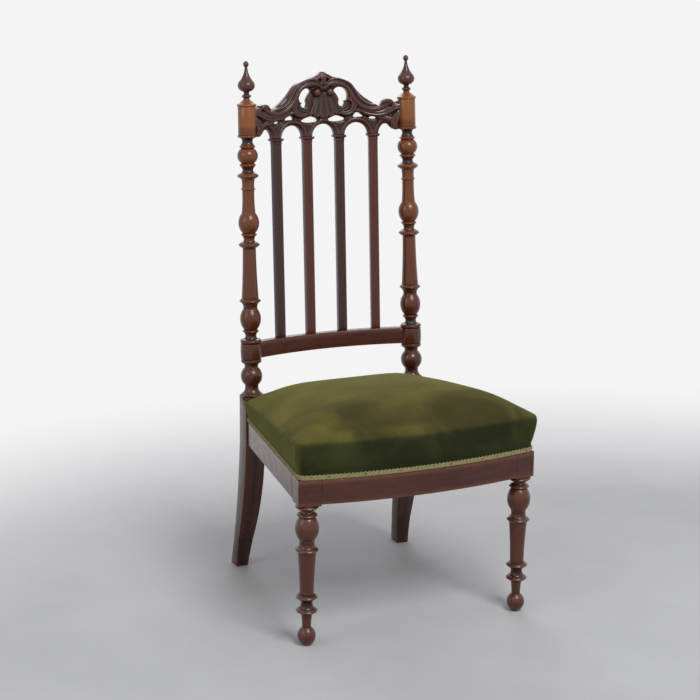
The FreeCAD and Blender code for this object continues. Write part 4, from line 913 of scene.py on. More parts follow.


# %% [markdown]
# The rails and blocks are raised from those plans, their edges are eased, and their flat
# faces are divided so that they can store the wear and the painted shade of their hollows. A
# front leg is three parts in one: the turning, the square block and the strip that the cover
# is tacked to.

# %% Seat rails and front legs
front_rail = raised("dressed_front_rail", rail_rings(front_rail_plan))
side_rail_right = raised("dressed_side_rail_right", rail_rings(side_rail_plan))
back_rail = raised("dressed_back_rail", rail_rings(back_rail_plan))
leg_block = raised("leg_block", [
    [spot(x, y, height) for x, y in leg_block_plan(0.0)]
    for height in (height_of(LEG), RAIL_TOP)])
leg_strip = raised("leg_strip", [
    [spot(x, y, height) for x, y in leg_block_plan(TACK_REBATE, corner=16.0)]
    for height in (RAIL_TOP - 0.5, RAIL_TOP + STRIP_HIGH)])
for piece in (front_rail, side_rail_right, back_rail, leg_block, leg_strip):
    soften_edges(piece, 1.1, segments=3)
    apply_modifier(piece, "SUBSURF", levels=2, render_levels=2, subdivision_type="SIMPLE")
    store_relief(piece, 4, 1.6)
side_rail_left = other_side(side_rail_right, "dressed_side_rail_left")
finish(front_rail, mahogany_across, "mahogany", "front_seat_rail")
finish(back_rail, mahogany_across, "mahogany", "back_seat_rail")
finish(side_rail_right, mahogany_along, "mahogany", "side_seat_rail_right")
finish(side_rail_left, mahogany_along, "mahogany", "side_seat_rail_left")
leg_block.data.materials.append(mahogany_across)
leg_turning.data.materials.append(turned_leg_mahogany)
leg_strip.data.materials.append(mahogany_across)
leg_right = joined("dressed_leg_right", leg_block, leg_strip, leg_turning)
leg_left = other_side(leg_right, "dressed_leg_left")
finish(leg_right, None, "mahogany", "front_leg_right")
finish(leg_left, None, "mahogany", "front_leg_left")

# %% [markdown]
# The back rail and the crest are cut from boards that bow backwards, so the sitter leans
# into a shallow curve. A place on such a board is a width across, a height up the back and
# a depth in front of the board's middle, and one function turns the three into a point.

# %% Places on the bowed back
BACK_BOW, BACK_BOW_HALF = 31.0, 176.0
BACK_RADIUS = (BACK_BOW_HALF ** 2 + BACK_BOW ** 2) / (2 * BACK_BOW)


def on_bow(across, height, ahead):
    """Millimetres across, up the leaning back and ahead of the board, as a place."""
    angle = math.asin(across / BACK_RADIUS)
    reach = BACK_RADIUS - ahead
    local = Vector((reach * math.sin(angle), BACK_BOW - BACK_RADIUS + reach * math.cos(angle),
                    height)) * MM
    return back @ local


LOWER_RAIL_HIGH, LOWER_RAIL_THICK = 34.0, 18.5
LOWER_RAIL_FOOT = (POST_BASE + height_of(POST, "barrel") + 1.0
                   - (LOWER_RAIL_HIGH - 31.4) / 2)
LOWER_RAIL_TOP = LOWER_RAIL_FOOT + LOWER_RAIL_HIGH
SPRING = POST_BASE + height_of(POST, "block_foot_ring") - 7.4
PITCH_ACROSS = 71.6
slat_places = [(n - 1.5) * PITCH_ACROSS for n in range(4)]
print(f"lower rail at {LOWER_RAIL_FOOT:.1f}, arcade springs at {SPRING:.1f} mm up the back")

# %% [markdown]
# The lower back rail is a plain bowed board whose long edges have worn round. Its plan is
# an arc in front and one behind, and it runs a little way into the ringed barrels of the
# posts. Its crescent ends are cut into triangles before they are divided, because the middle
# of a crescent lies outside it.

# %% Lower back rail
rail_half = post_axis_x(LOWER_RAIL_FOOT) - 17.0
across = np.linspace(-rail_half, rail_half, 33)


def bowed_ring(height, trim):
    half = LOWER_RAIL_THICK / 2 - trim
    return ([on_bow(x, height, half) for x in across]
            + [on_bow(x, height, -half) for x in across[::-1]])


lower_rail = raised("dressed_lower_rail", [
    bowed_ring(LOWER_RAIL_FOOT, 0), bowed_ring((LOWER_RAIL_FOOT + LOWER_RAIL_TOP) / 2, 0),
    bowed_ring(LOWER_RAIL_TOP, 0)])
soften_edges(lower_rail, 2.4, segments=4)
apply_modifier(lower_rail, "TRIANGULATE", min_vertices=5)
apply_modifier(lower_rail, "SUBSURF", levels=1, render_levels=1, subdivision_type="SIMPLE")
store_relief(lower_rail, 14, 2.0)
finish(lower_rail, mahogany_across, "mahogany", "lower_back_rail")

# %% [markdown]
# A slat is a small square column. Below the arcade it has a thin necking band and a
# capital that spreads in two steps. One slat is raised ring by ring as rectangles, bevelled
# and copied to the four places, where each turns a little to face along the bow. The slats
# were sawn from two boards, so every other one is redder.

# %% Four slats
slat_long = SPRING - LOWER_RAIL_TOP
SLAT_STEPS = [(slat_long * n / 24, 18.0, 13.5) for n in range(24)] + [
    # height, width, depth
    (slat_long - 11.2, 18.0, 13.5), (slat_long - 11.0, 19.4, 14.7),
    (slat_long - 9.4, 19.4, 14.7), (slat_long - 9.2, 18.3, 13.8),
    (slat_long - 6.0, 19.0, 14.4), (slat_long - 4.0, 24.6, 17.4),
    (slat_long - 3.6, 26.5, 18.5), (slat_long, 26.5, 18.5),
]
slat_rings = [[Vector((x * w / 2, y * d / 2, h)) * MM
               for x, y in ((-1, -1), (1, -1), (1, 1), (-1, 1))] for h, w, d in SLAT_STEPS]
first_slat = raised("dressed_slat_1", slat_rings)
soften_edges(first_slat, 0.7, segments=2, angle=50)
apply_modifier(first_slat, "SUBSURF", levels=1, render_levels=1, subdivision_type="SIMPLE")
store_relief(first_slat, 20, 1.6)
plain_slat = first_slat.data.copy()
for number, x in enumerate(slat_places, 1):
    slat = first_slat
    if number > 1:
        slat = first_slat.copy()
        slat.data = plain_slat.copy()
        slat.name = f"dressed_slat_{number}"
        bpy.context.collection.objects.link(slat)
    turn = math.asin(x / BACK_RADIUS)
    middle = BACK_BOW - BACK_RADIUS + BACK_RADIUS * math.cos(turn)
    slat.data.transform(back @ Matrix.Translation(Vector((x, middle, LOWER_RAIL_TOP)) * MM)
                        @ Matrix.Rotation(-turn, 4, "Z"))
    finish(slat, slat_dark_mahogany if number % 2 else slat_red_mahogany, "dark_mahogany",
           f"back_slat_{number}")

# %% [markdown]
# The crest is the chair's showpiece: two great scrolls that rise from leafy ears beside
# the posts to a leaf at the top, a fluted fan between them, and an arcade of arches below.
# No primitive gives such carving. As a carver would, the outline is sawn out first, with
# its openings, as a filled curve given a thickness. A fine voxel remesh then turns the blank
# into wood that can be cut anywhere.

# %% The crest's blank
CREST_HALF = 7.5
ARCH = 24.4
APEX = 130.6
crest_end = post_axis_x(SPRING) - 14.0


def smooth_line(points, closed=False, steps=8):
    """A Catmull-Rom line through the points."""
    points = np.array(points, float)
    if closed:
        padded = np.vstack((points[-1], points, points[:2]))
    else:
        padded = np.vstack((2 * points[0] - points[1], points, 2 * points[-1] - points[-2]))
    out = []
    for a, b, c, d in zip(padded, padded[1:], padded[2:], padded[3:]):
        for n in range(steps):
            t = n / steps
            out.append(0.5 * (2 * b + (c - a) * t + (2 * a - 5 * b + 4 * c - d) * t ** 2
                              + (3 * b - a - 3 * c + d) * t ** 3))
    if not closed:
        out.append(points[-1])
    return np.array(out)


def arch_line(centre, start, end, steps=18):
    angles = np.radians(np.linspace(start, end, steps))
    return np.column_stack((centre + ARCH * np.cos(angles), ARCH * np.sin(angles)))


# %% [markdown]
# The outline is drawn for one half, in millimetres from the crest's middle and up from the
# feet of the arches: along the scroll to the ear, over the ear to the post, and back under
# it. The arches are true arcs, and the openings are small closed lines.

# %% The crest's outline
TOP_LINE = [(0, APEX), (5, APEX - 1.2), (11, APEX - 4.8), (17, APEX - 8.6), (24, APEX - 10.6),
            (33, APEX - 12.8), (43, APEX - 16.2), (57, APEX - 22.2), (67, APEX - 30.5),
            (76, APEX - 41.5), (86, APEX - 52), (98, APEX - 60.8), (108, APEX - 67),
            (115, APEX - 71.2)]
EAR_LINE = [(119.5, APEX - 74.6), (122.5, APEX - 71.5), (126, APEX - 64.5),
            (132, APEX - 60.5), (140, APEX - 59.6), (147, APEX - 62.5), (150.5, APEX - 66.6),
            (156, APEX - 65.2), (crest_end, APEX - 66)]
FOOT_LINE = [(crest_end, 9.4), (159, 7.6), (152, 6.8), (145.5, 9.4), (140.5, 14),
             (136, 19.6)]
OPENINGS = [
    [(26, 91), (30.5, 96), (39, 97.6), (47.5, 94), (53, 86.5), (54.6, 78), (52.6, 71.6),
     (46.4, 69), (48.8, 64.6), (44, 59), (38, 60), (35.2, 66), (36.4, 73), (32, 82)],
    [(11, 32), (22, 39.2), (35, 38.8), (49, 32.4), (36, 28.6), (22, 28.8)],
    [(66, 36.4), (73, 44.8), (81, 41.4), (88, 35.6), (77, 36)],
    [(98, 33), (107, 35.4), (116.5, 30.9), (106, 30.6)],
]
half = np.vstack((smooth_line(TOP_LINE), smooth_line(EAR_LINE), smooth_line(FOOT_LINE)))
arches = [arch_line(2 * PITCH_ACROSS, 126, 180, 12)]
arches += [arch_line(n * PITCH_ACROSS, 0, 180) for n in (1, 0, -1)]
arches += [arch_line(-2 * PITCH_ACROSS, 0, 54, 12)]
mirror = np.array((-1, 1))
crest_outline = np.vstack([half] + arches + [(half * mirror)[::-1]])
crest_holes = [smooth_line(points, closed=True) for points in OPENINGS]
crest_holes += [line * mirror for line in crest_holes]

blank_curve = bpy.data.curves.new("crest_blank", "CURVE")
blank_curve.dimensions = "2D"
blank_curve.fill_mode = "BOTH"
blank_curve.extrude = CREST_HALF * MM
for line in [crest_outline] + crest_holes:
    spline = blank_curve.splines.new("POLY")
    spline.points.add(len(line) - 1)
    for point, (x, rise) in zip(spline.points, line * MM):
        point.co = (x, rise, 0, 1)
    spline.use_cyclic_u = True
crest = bpy.data.objects.new("carved_crest", blank_curve)
bpy.context.collection.objects.link(crest)
only(crest)
bpy.ops.object.convert(target="MESH")
crest = bpy.context.object
tidy_faces(crest)
apply_modifier(crest, "REMESH", mode="VOXEL", voxel_size=1.15 * MM)
print("crest blank:", len(crest.data.vertices), "points")

# %% [markdown]
# Carving is a question of how proud the wood stands at each place. Every scroll, leaf and
# bead is a stroke: a line with a width, a height and a cross-section, and the highest
# stroke at a place wins. The ground between them is cut back, every edge is eased over, and
# the fan's flutes are hollowed with a gouge.

# %% Strokes of the carving


def stroke_height(places, line, widths, heights, section):
    """How proud one stroke stands at each place. Far from the stroke it is very low."""
    path = smooth_line(line, steps=10)
    shares = np.linspace(0, 1, len(path))
    wide = np.interp(shares, np.linspace(0, 1, len(widths)), widths)
    high = np.interp(shares, np.linspace(0, 1, len(heights)), heights)
    ways = np.gradient(path, axis=0)
    ways /= np.linalg.norm(ways, axis=1)[:, None]
    out = np.full(len(places), -50.0)
    near = np.flatnonzero((places[:, 0] > path[:, 0].min() - 14)
                          & (places[:, 0] < path[:, 0].max() + 14)
                          & (places[:, 1] > path[:, 1].min() - 14)
                          & (places[:, 1] < path[:, 1].max() + 14))
    if not len(near):
        return out
    gaps = places[near, None, :] - path[None, :, :]
    nearest = np.argmin(np.einsum("ijk,ijk->ij", gaps, gaps), axis=1)
    gap = gaps[np.arange(len(near)), nearest]
    way = ways[nearest]
    aside = (gap[:, 1] * way[:, 0] - gap[:, 0] * way[:, 1]) / wide[nearest]
    beyond = np.abs(gap[:, 0] * way[:, 0] + gap[:, 1] * way[:, 1]) / wide[nearest]
    inside = (np.abs(aside) < 1) & (beyond < 1)
    height = high[nearest] * section(np.clip(aside, -1, 1)) - 3.0 * beyond ** 2
    out[near[inside]] = height[inside]
    return out


def bead(aside):
    return np.sqrt(1 - aside ** 2)


def scroll(aside):
    """Round on the outside, with a raised lip and a gouged channel on the inside."""
    body = np.sqrt(1 - aside ** 2)
    channel = 0.55 * np.exp(-((aside - 0.30) / 0.20) ** 2)
    lip = 0.22 * np.exp(-((aside - 0.72) / 0.16) ** 2)
    return body - channel + lip


def leaf(aside):
    """A vein down the middle between two rounded halves."""
    return np.sqrt(1 - aside ** 2) - 0.38 * np.exp(-(aside / 0.16) ** 2)


# %% [markdown]
# The strokes are listed for one half of the crest, from the great scroll and the leaf below
# it to the small leaves at the apex. The carving is symmetric, so a point on the other half
# reads the same list.

# %% The list of strokes
STROKES = [
    # line from the crest's middle and the arches' feet, half widths, heights, section
    ([(3, 96), (8, 103), (16, 107.5), (28, 109.2), (42, 105.8), (54, 98.5), (63, 87),
      (70, 75), (79, 65), (90, 57.5), (104, 53), (118, 53.5), (130, 58), (138, 63)],
     (4, 6.5, 9, 10, 10.5, 10.5, 10, 10, 9.5, 8.5, 7), (4.5, 5.5, 6, 6, 6, 6, 5.5, 5, 4.5),
     scroll),
    ([(80, 53), (90, 46.5), (102, 42.5), (116, 41), (130, 43), (142, 48), (152, 53),
      (162, 54)], (5, 7, 7.5, 8, 7.5, 7, 6), (3.5, 4.5, 5, 5, 4.5, 4), leaf),
    ([(40, 46), (50, 44.5), (60, 47.5), (66.5, 55), (67, 64), (62, 71), (56, 73)],
     (4, 6, 7, 7, 6.5, 5.5, 4), (3, 4.5, 5, 5, 4.5, 3.5), leaf),
    ([(66, 57), (72, 50), (80, 46.5)], (4, 4.5, 3.5), (3.5, 3.5, 2.5), bead),
    ([(133, 66), (138, 68), (143, 66)], (6.5, 8.5, 6.5), (5, 6.5, 5), bead),
    ([(160, 40), (153, 30), (151, 20), (154, 12)], (7, 9, 8.5, 6), (3, 4.5, 4.5, 3), leaf),
    ([(118, 33), (130, 33), (142, 29), (150, 22)], (4, 6, 6, 5), (2.5, 3.5, 3.5, 3), bead),
    ([(4, 124), (12, 119.5), (20, 115.5), (30, 115.5)], (4, 5.5, 5, 3.5),
     (5, 5.5, 4.5, 2), leaf),
    ([(0, 108), (0, 117), (0, 127)], (6, 8, 4.5), (6, 7.5, 4.5), leaf),
    ([(151, 60), (158, 56), (165, 58)], (5, 6, 5), (3, 3.5, 3), bead),
]
print("strokes:", len(STROKES))

# %% [markdown]
# The fan, the arcade and the volutes are too regular for strokes. Each is a formula for the
# height at a place: flutes between straight ridges, a bead round each arch, and a ball.

# %% Fan, arcade and volutes


def fan_height(places):
    """Five gouged flutes that spread from the volutes and lift at their scalloped foot."""
    x, rise = np.abs(places[:, 0]), places[:, 1]
    down = np.clip((86 - rise) / 54, 0, 1)
    half_width = 16 + 27 * down ** 1.25
    along = x / half_width
    edges = np.array((0.25, 0.64, 1.0))
    centres = np.array((0.0, 0.445, 0.82))
    reach = np.array((0.25, 0.195, 0.18))
    flute = np.clip(np.searchsorted(edges, along), 0, 2)
    gouge = np.clip(np.abs(along - centres[flute]) / reach[flute], 0, 1)
    height = 2.2 + 4.6 * down + (1.2 + 2.0 * down) * (gouge ** 1.7 - 1)
    foot = np.array((33.5, 35.5, 41.0))[flute] + 5.0 * gouge ** 2
    height -= 0.35 * np.clip(foot + 4.5 - rise, 0, 12) ** 1.6
    height[(along > 1) | (rise > 88) | (rise < foot - 2)] = -50
    return height


def arcade_height(places):
    """A bead round each arch, hollow towards the opening, with a sunk spandrel between."""
    centre = np.round(places[:, 0] / PITCH_ACROSS) * PITCH_ACROSS
    radius = np.hypot(places[:, 0] - centre, places[:, 1])
    rim = 2.6 * np.sqrt(np.clip(1 - ((radius - 32.2) / 3.4) ** 2, 0, 1))
    cove = np.clip((radius - ARCH) / 5.0, 0, 1) ** 2 * 1.6 - 2.2
    height = np.maximum(np.where(radius < 35.6, cove, -50), np.where(rim > 0, rim - 0.6, -50))
    height[places[:, 1] < 0] = -50
    height[np.abs(places[:, 0]) > 2 * PITCH_ACROSS - 16] = -50
    pier = (places[:, 1] < 9) & (radius > 33) & (np.abs(places[:, 0]) < 135)
    height[pier] = np.maximum(height[pier], 0.4)
    return height


def volute_height(places):
    """A small ball in the eye of each volute."""
    gap = np.hypot(np.abs(places[:, 0]) - 14.5, places[:, 1] - 88.5)
    ball = np.where(gap < 8, 3.0 + 0.75 * np.sqrt(np.clip(64 - gap ** 2, 0, 64)), -50)
    rim = np.where((gap > 7.4) & (gap < 9.4), 3.4, -50)
    return np.maximum(ball, rim - 1.5)


# %% [markdown]
# Now the blank is carved. The highest form wins at each point, the edges of the outline and
# of the openings are eased by their distance, and the back stays flat with eased edges. The
# carved board is then bent along the bow and set in the leaning back.

# %% Carve the crest
GROUND = -2.6
EASE_WIDE, EASE_DEEP, EASE_BACK = 3.2, 2.6, 1.6
points = mesh_points(crest.data) / MM
flat = points[:, :2]
folded = np.column_stack((np.abs(flat[:, 0]), flat[:, 1]))
carving = np.full(len(flat), GROUND)
for line, widths, heights, section in STROKES:
    carving = np.maximum(carving, stroke_height(folded, line, widths, heights, section))
for layer in (fan_height, arcade_height, volute_height):
    carving = np.maximum(carving, layer(flat))

edge_samples = np.vstack([crest_outline] + crest_holes)
rim = kdtree.KDTree(len(edge_samples))
for number, (x, rise) in enumerate(edge_samples):
    rim.insert((x, rise, 0), number)
rim.balance()
to_edge = np.array([rim.find((x, rise, 0))[2] for x, rise in flat])
ease = np.clip(1 - to_edge / EASE_WIDE, 0, 1)
carving -= EASE_DEEP * ease ** 2

share = np.clip((points[:, 2] + CREST_HALF) / (2 * CREST_HALF), 0, 1)
ahead = points[:, 2] + share * carving
ahead += (1 - share) * EASE_BACK * ease ** 2
places = np.array([on_bow(x, SPRING + rise, depth)
                   for (x, rise), depth in zip(flat, ahead)])
move_points(crest.data, places)
apply_modifier(crest, "SMOOTH", factor=0.5, iterations=2)
bpy.ops.object.shade_smooth()
store_relief(crest, 40, 1.5)
finish(crest, dark_mahogany, "dark_mahogany", "crest_rail")

# %% [markdown]
# The seat is a sprung pad under a velvet cover. Its plan is a ring at some inset from the
# rails: a bowed front, round front corners, and straight sides and back. The cover rises
# from behind the braid, leans out a little, turns over a soft shoulder and climbs to a
# crown. Rings of equal point count are extruded one after another, as for the rails.

# %% The seat's rings
COVER_INSET, COVER_BULGE, COVER_SIDE = 1.7, 4.5, 78.0
COVER_SHOULDER, COVER_CROWN, COVER_REACH, COVER_FALL = 15.0, 50.0, 165.0, 0.06
CROWN_FULLNESS, CROWN_FALL = 2.7, 0.2
FRONT_CORNER = 16.0
ROUND_MIDDLE = 0.29  # how far the middle of a quarter round lies from each side


def seat_plan(inset, corner=FRONT_CORNER):
    """Points round the seat, from the front's middle over +X to the back and round again."""
    front_x = side_x(-SEAT_DEPTH, inset)
    bow_x = front_x - corner
    corner_y = bow_y(front_x, inset) + corner
    rear_y = SEAT_TAIL - inset
    rear_round = min(corner, 6.0)
    half = [(x, bow_y(x, inset)) for x in np.linspace(0, bow_x, 18)[:-1]]
    start = Vector((bow_x, bow_y(bow_x, inset)))
    end = Vector((side_x(corner_y, inset), corner_y))
    elbow = Vector((front_x, bow_y(front_x, inset)))
    for share in np.linspace(0, 1, 8):
        point = start.lerp(elbow, share).lerp(elbow.lerp(end, share), share)
        half.append((point.x, point.y))
    half += [(side_x(y, inset), y) for y in np.linspace(corner_y, rear_y - rear_round, 18)[1:]]
    rear_x = side_x(rear_y, inset)
    half += [(rear_x - rear_round * ROUND_MIDDLE, rear_y - rear_round * ROUND_MIDDLE)]
    half += [(x, rear_y) for x in np.linspace(rear_x - rear_round, 0, 12)]
    return half + [(-x, y) for x, y in half[-2:0:-1]]


def seat_ring(inset, rise, fall=0.0, corner=FRONT_CORNER):
    return [spot(x, y, RAIL_TOP + rise - fall * (y + SEAT_DEPTH))
            for x, y in seat_plan(inset, corner)]


def cover_rings(shrink):
    low = 10.8
    steps = [(COVER_INSET, 0.4, 0.0)]
    for n in range(6):
        share = n / 5
        lean = math.sin(0.5 * math.pi * min(1, share * 1.6))
        steps.append((COVER_INSET - (COVER_INSET + COVER_BULGE) * lean,
                      low + (COVER_SIDE - COVER_SHOULDER - low) * share, COVER_FALL * share))
    for n in range(1, 5):
        angle = math.radians(17.5 * n)
        steps.append((COVER_SHOULDER * (1 - math.cos(angle)) - COVER_BULGE,
                      COVER_SIDE - COVER_SHOULDER * (1 - math.sin(angle)), COVER_FALL))
    last_inset, last_rise, _ = steps[-1]
    for n in range(1, 8):
        share = n / 7
        steps.append((last_inset + COVER_REACH * share,
                      last_rise + COVER_CROWN * (1 - (1 - share) ** CROWN_FULLNESS),
                      COVER_FALL * (1 + CROWN_FALL * share)))
    drawn = []
    for inset, rise, tilt in steps:
        share = min(1.0, max(0.0, (rise - 12) / 30))
        drawn.append(seat_ring(inset + shrink * share, rise - shrink * share, tilt))
    return drawn


print("seat rings:", len(cover_rings(0)), "of", len(seat_plan(0)), "points")

# %% [markdown]
# Velvet is cotton pile, and its colour here carries painted light and painted sheen. The
# top, which faces the light and is seen at a low angle, is painted a lighter olive that
# grows lighter towards the back, while the upright front is painted dark green and the
# sides a lighter green. The ridges and sides are painted pale, partly as rubbed pile and
# partly as painted sheen, the folds and hollows get painted shade, and soft patches show
# where the pile was pressed. Sheen on the shader gives the bright rim that every pile
# fabric has.

# %% Velvet
velvet, tree, shader = new_material("olive_velvet")
place = object_place(tree)
patches = noise(tree, place, 8, 3, 0.5, 0.5)
brushed = noise(tree, scaled(tree, place, (1.0, 0.45, 1.0)), 36, 4, 0.65, 0.6)
pile = noise(tree, place, 1500, 2, 0.6)
apart = put(tree, "SeparateXYZ", {"Vector": place})
normal = put(tree, "SeparateXYZ",
             {"Vector": put(tree, "NewGeometry").outputs["Normal"]})
facing = normal.outputs["Z"]
# Painted light: faces turned up get the lighter top colours, upright faces the darker ones.
lit_from_above = spread(tree, facing, 0.05, 0.96)
rearward = spread(tree, apart.outputs["Y"], -0.26, 0.12)
aside = spread(tree, sums(tree, "ABSOLUTE", apart.outputs["X"]), 0.12, 0.23)
aside = sums(tree, "MULTIPLY", aside, spread(tree, facing, 0.3, 0.8))
ruffled = sums(tree, "ADD", sums(tree, "MULTIPLY", patches, 0.62),
               sums(tree, "MULTIPLY", brushed, 0.38))
# Painted shade: the upright faces get a dark green.
shaded_upright_colour = mixed(tree, spread(tree, ruffled, 0.36, 0.66),
                       paint(36, 39, 22), paint(50, 55, 29))
# Painted light: upright faces turned to the sides are painted lighter than the front.
side_light = spread(tree, sums(tree, "ABSOLUTE", normal.outputs["X"]), 0.55, 0.98)
shaded_upright_colour = mixed(tree, side_light, shaded_upright_colour, paint(76, 78, 36))
# Painted light and sheen: the top is a lighter olive, lighter still towards the back.
top_near = mixed(tree, spread(tree, ruffled, 0.34, 0.66), paint(60, 56, 30),
                 paint(74, 68, 35))
top_far = mixed(tree, spread(tree, ruffled, 0.34, 0.66), paint(84, 80, 42),
                paint(97, 93, 50))
lit_top_colour = mixed(tree, rearward, top_near, top_far)
colour = mixed(tree, lit_from_above, shaded_upright_colour, lit_top_colour)
relief = stored(tree)
# Rubbed pile and painted sheen: ridges and the seat's sides are painted pale.
ridge = spread(tree, relief, 0.32, 0.5, 1.0, 0.0)
rubbing_and_sheen = sums(tree, "MULTIPLY", spread(tree, patches, 0.34, 0.74),
               sums(tree, "MAXIMUM", aside, ridge))
side_colour = mixed(tree, lit_from_above, paint(66, 70, 34), paint(118, 113, 52))
colour = mixed(tree, sums(tree, "MULTIPLY", rubbing_and_sheen, 0.5), colour, side_colour)
# Painted shade in the cover's folds and hollows.
fold_shade = spread(tree, relief, 0.54, 0.8, 0.0, 0.6)
colour = mixed(tree, fold_shade, colour, paint(22, 25, 13))
colour = mixed(tree, spread(tree, pile, 0.3, 0.7, 0.0, 0.22), colour, paint(24, 26, 12))
height = sums(tree, "ADD", sums(tree, "MULTIPLY", pile, 0.35), brushed)
dress(tree, shader, colour, spread(tree, brushed, 0.3, 0.7, 0.82, 0.97), height, 0.0006, 0.5,
      {"Specular IOR Level": 0.1, "Sheen Weight": 0.32, "Sheen Roughness": 0.34,
       "Sheen Tint": paint(190, 186, 110)})
print("velvet:", len(tree.nodes), "nodes")

# %% [markdown]
# The pad starts a little smaller than the finished seat. Room is cut out of it for the
# posts' square blocks, a voxel remesh gives it even cloth-like faces, and a cloth
# simulation with pressure inside and no gravity swells it. Its lower edge, which is tacked
# down, stays where it is, and no point may move further than a stuffed seat would.

# %% Stuffed seat
SWELL = 1.2
SIM_FRAMES = 20
LEAST_OUT, MOST_OUT, MOST_MOVE = -0.2 * MM, 2.6 * MM, 5.5 * MM


def box_between(name, low, high):
    start_clean()
    bpy.ops.mesh.primitive_cube_add(size=1, location=(0, 0, 0))
    box = bpy.context.object
    box.name = name
    for vertex in box.data.vertices:
        vertex.co = Vector([a if part < 0 else b for part, a, b in zip(vertex.co, low, high)])
    return box


def cut_away(piece, cutter, operation="DIFFERENCE"):
    apply_modifier(piece, "BOOLEAN", operation=operation, object=cutter, solver="EXACT")
    bpy.data.objects.remove(cutter)


seat = raised("velvet_seat", cover_rings(SWELL))
POST_ROOM = 1.6
for sign in (1, -1):
    low = spot((POST_INNER - POST_ROOM) * sign, -POST_ROOM, 300)
    cut_away(seat, box_between("post_room", low, spot(260 * sign, 90, 460)))
tidy_faces(seat)
apply_modifier(seat, "REMESH", mode="VOXEL", voxel_size=0.0055)
only(seat)
bpy.ops.object.shade_smooth()
before = mesh_points(seat.data)
facing_out = mesh_points(seat.data, "normal")
print("seat:", len(before), "points after the remesh")

rise = (before[:, 2] / MM - RAIL_TOP)
across, along = before[:, 0] / MM, (before[:, 1] - DATUM_Y) / MM
near_post = (np.abs(across) > POST_INNER - 9) & (along > -9)
held = (rise < 15) | near_post
group = seat.vertex_groups.new(name="tacked")
group.add(np.flatnonzero(held).tolist(), 1.0, "REPLACE")
cloth = seat.modifiers.new("velvet_cloth", "CLOTH")
cloth.settings.use_pressure = True
cloth.settings.uniform_pressure_force = 4.0
cloth.settings.effector_weights.gravity = 0.0
cloth.settings.vertex_group_mass = "tacked"
cloth.settings.tension_stiffness = 12
cloth.settings.compression_stiffness = 12
cloth.settings.bending_stiffness = 0.6
cloth.point_cache.frame_start, cloth.point_cache.frame_end = 1, SIM_FRAMES
scene = bpy.context.scene
for frame_number in range(1, SIM_FRAMES + 1):
    scene.frame_set(frame_number)
only(seat)
bpy.ops.object.modifier_apply(modifier="velvet_cloth")
scene.frame_set(1)
moved = mesh_points(seat.data) - before
outwards = (moved * facing_out).sum(axis=1)
kept = np.clip(outwards, LEAST_OUT, MOST_OUT)
moved += (kept - outwards)[:, None] * facing_out
far = np.linalg.norm(moved, axis=1)
reach = np.where(held, 0.0, MOST_MOVE)
moved *= (np.minimum(far, reach) / np.maximum(far, 1e-9))[:, None]
move_points(seat.data, before + moved)
print(f"cloth moved {far.mean() / MM:.1f} mm on average, kept to {MOST_MOVE / MM:.1f} mm")

# %% [markdown]
# The rings of the drawing leave faint steps in the top. Smoothing takes them out, with a
# weight that is full on the top and fades to nothing at the shoulder.

# %% Smooth the top
TOP_FROM, TOP_FADE, TOP_ROUNDS = 66, 14, 90
top_group = seat.vertex_groups.new(name="top")
points = mesh_points(seat.data)
from_top = points[:, 2] / MM - RAIL_TOP + COVER_FALL * (along + SEAT_DEPTH)
for share in (0.3, 0.6, 1.0):
    chosen = np.flatnonzero(from_top > TOP_FROM + TOP_FADE * share)
    top_group.add(chosen.tolist(), share, "REPLACE")
apply_modifier(seat, "SMOOTH", factor=0.5, iterations=TOP_ROUNDS, vertex_group="top")
print("seat top smoothed, crown at", round((mesh_points(seat.data)[:, 2].max()) / MM, 1), "mm")

# %% [markdown]
# A seat that has been sat in for years has sunk a little towards the back, been pushed up
# at the front and out over the rail on the right. Each of the three is one soft shift of
# the points, which fades in by place so that no crease appears.

# %% The sat-in seat
SUNK_REAR, PUSHED_ASIDE, PUSHED_UP = 10.0, 6.0, 4.0


def eased(values, low, high):
    """Nought below one value, one above the other, and smooth between."""
    share = np.clip((values - low) / (high - low), 0, 1)
    return share * share * (3 - 2 * share)


points = mesh_points(seat.data)
across, along = points[:, 0] / MM, (points[:, 1] - DATUM_Y) / MM
from_top = points[:, 2] / MM - RAIL_TOP + COVER_FALL * (along + SEAT_DEPTH)
inside_edge = side_x(along) - np.abs(across)
bulging = np.exp(-((from_top - 60) / 24) ** 2) * eased(-along, 0, 300)
bulging *= eased(-inside_edge, -50, 0)
points[:, 0] += np.where(across > 0, PUSHED_ASIDE, 0) * bulging * MM
points[:, 2] -= SUNK_REAR * eased(along, -230, -10) * eased(from_top, 58, 100) * MM
points[:, 2] += PUSHED_UP * eased(-along, 150, 360) * eased(from_top, 30, 70) * MM
move_points(seat.data, points)
print("pushed out to", round(np.abs(points[:, 0]).max() / MM, 1), "mm from the middle")

# %% [markdown]
# Where the cover turns the two front corners, the upholsterer folds the spare cloth into
# small upright pleats. They are pressed in by moving points inwards on narrow lines round
# each corner, deepest above the braid and gone at the shoulder. Then the room for the
# rails' tacking strips is cut out from below, which leaves the cover's skirt hanging over
# them.

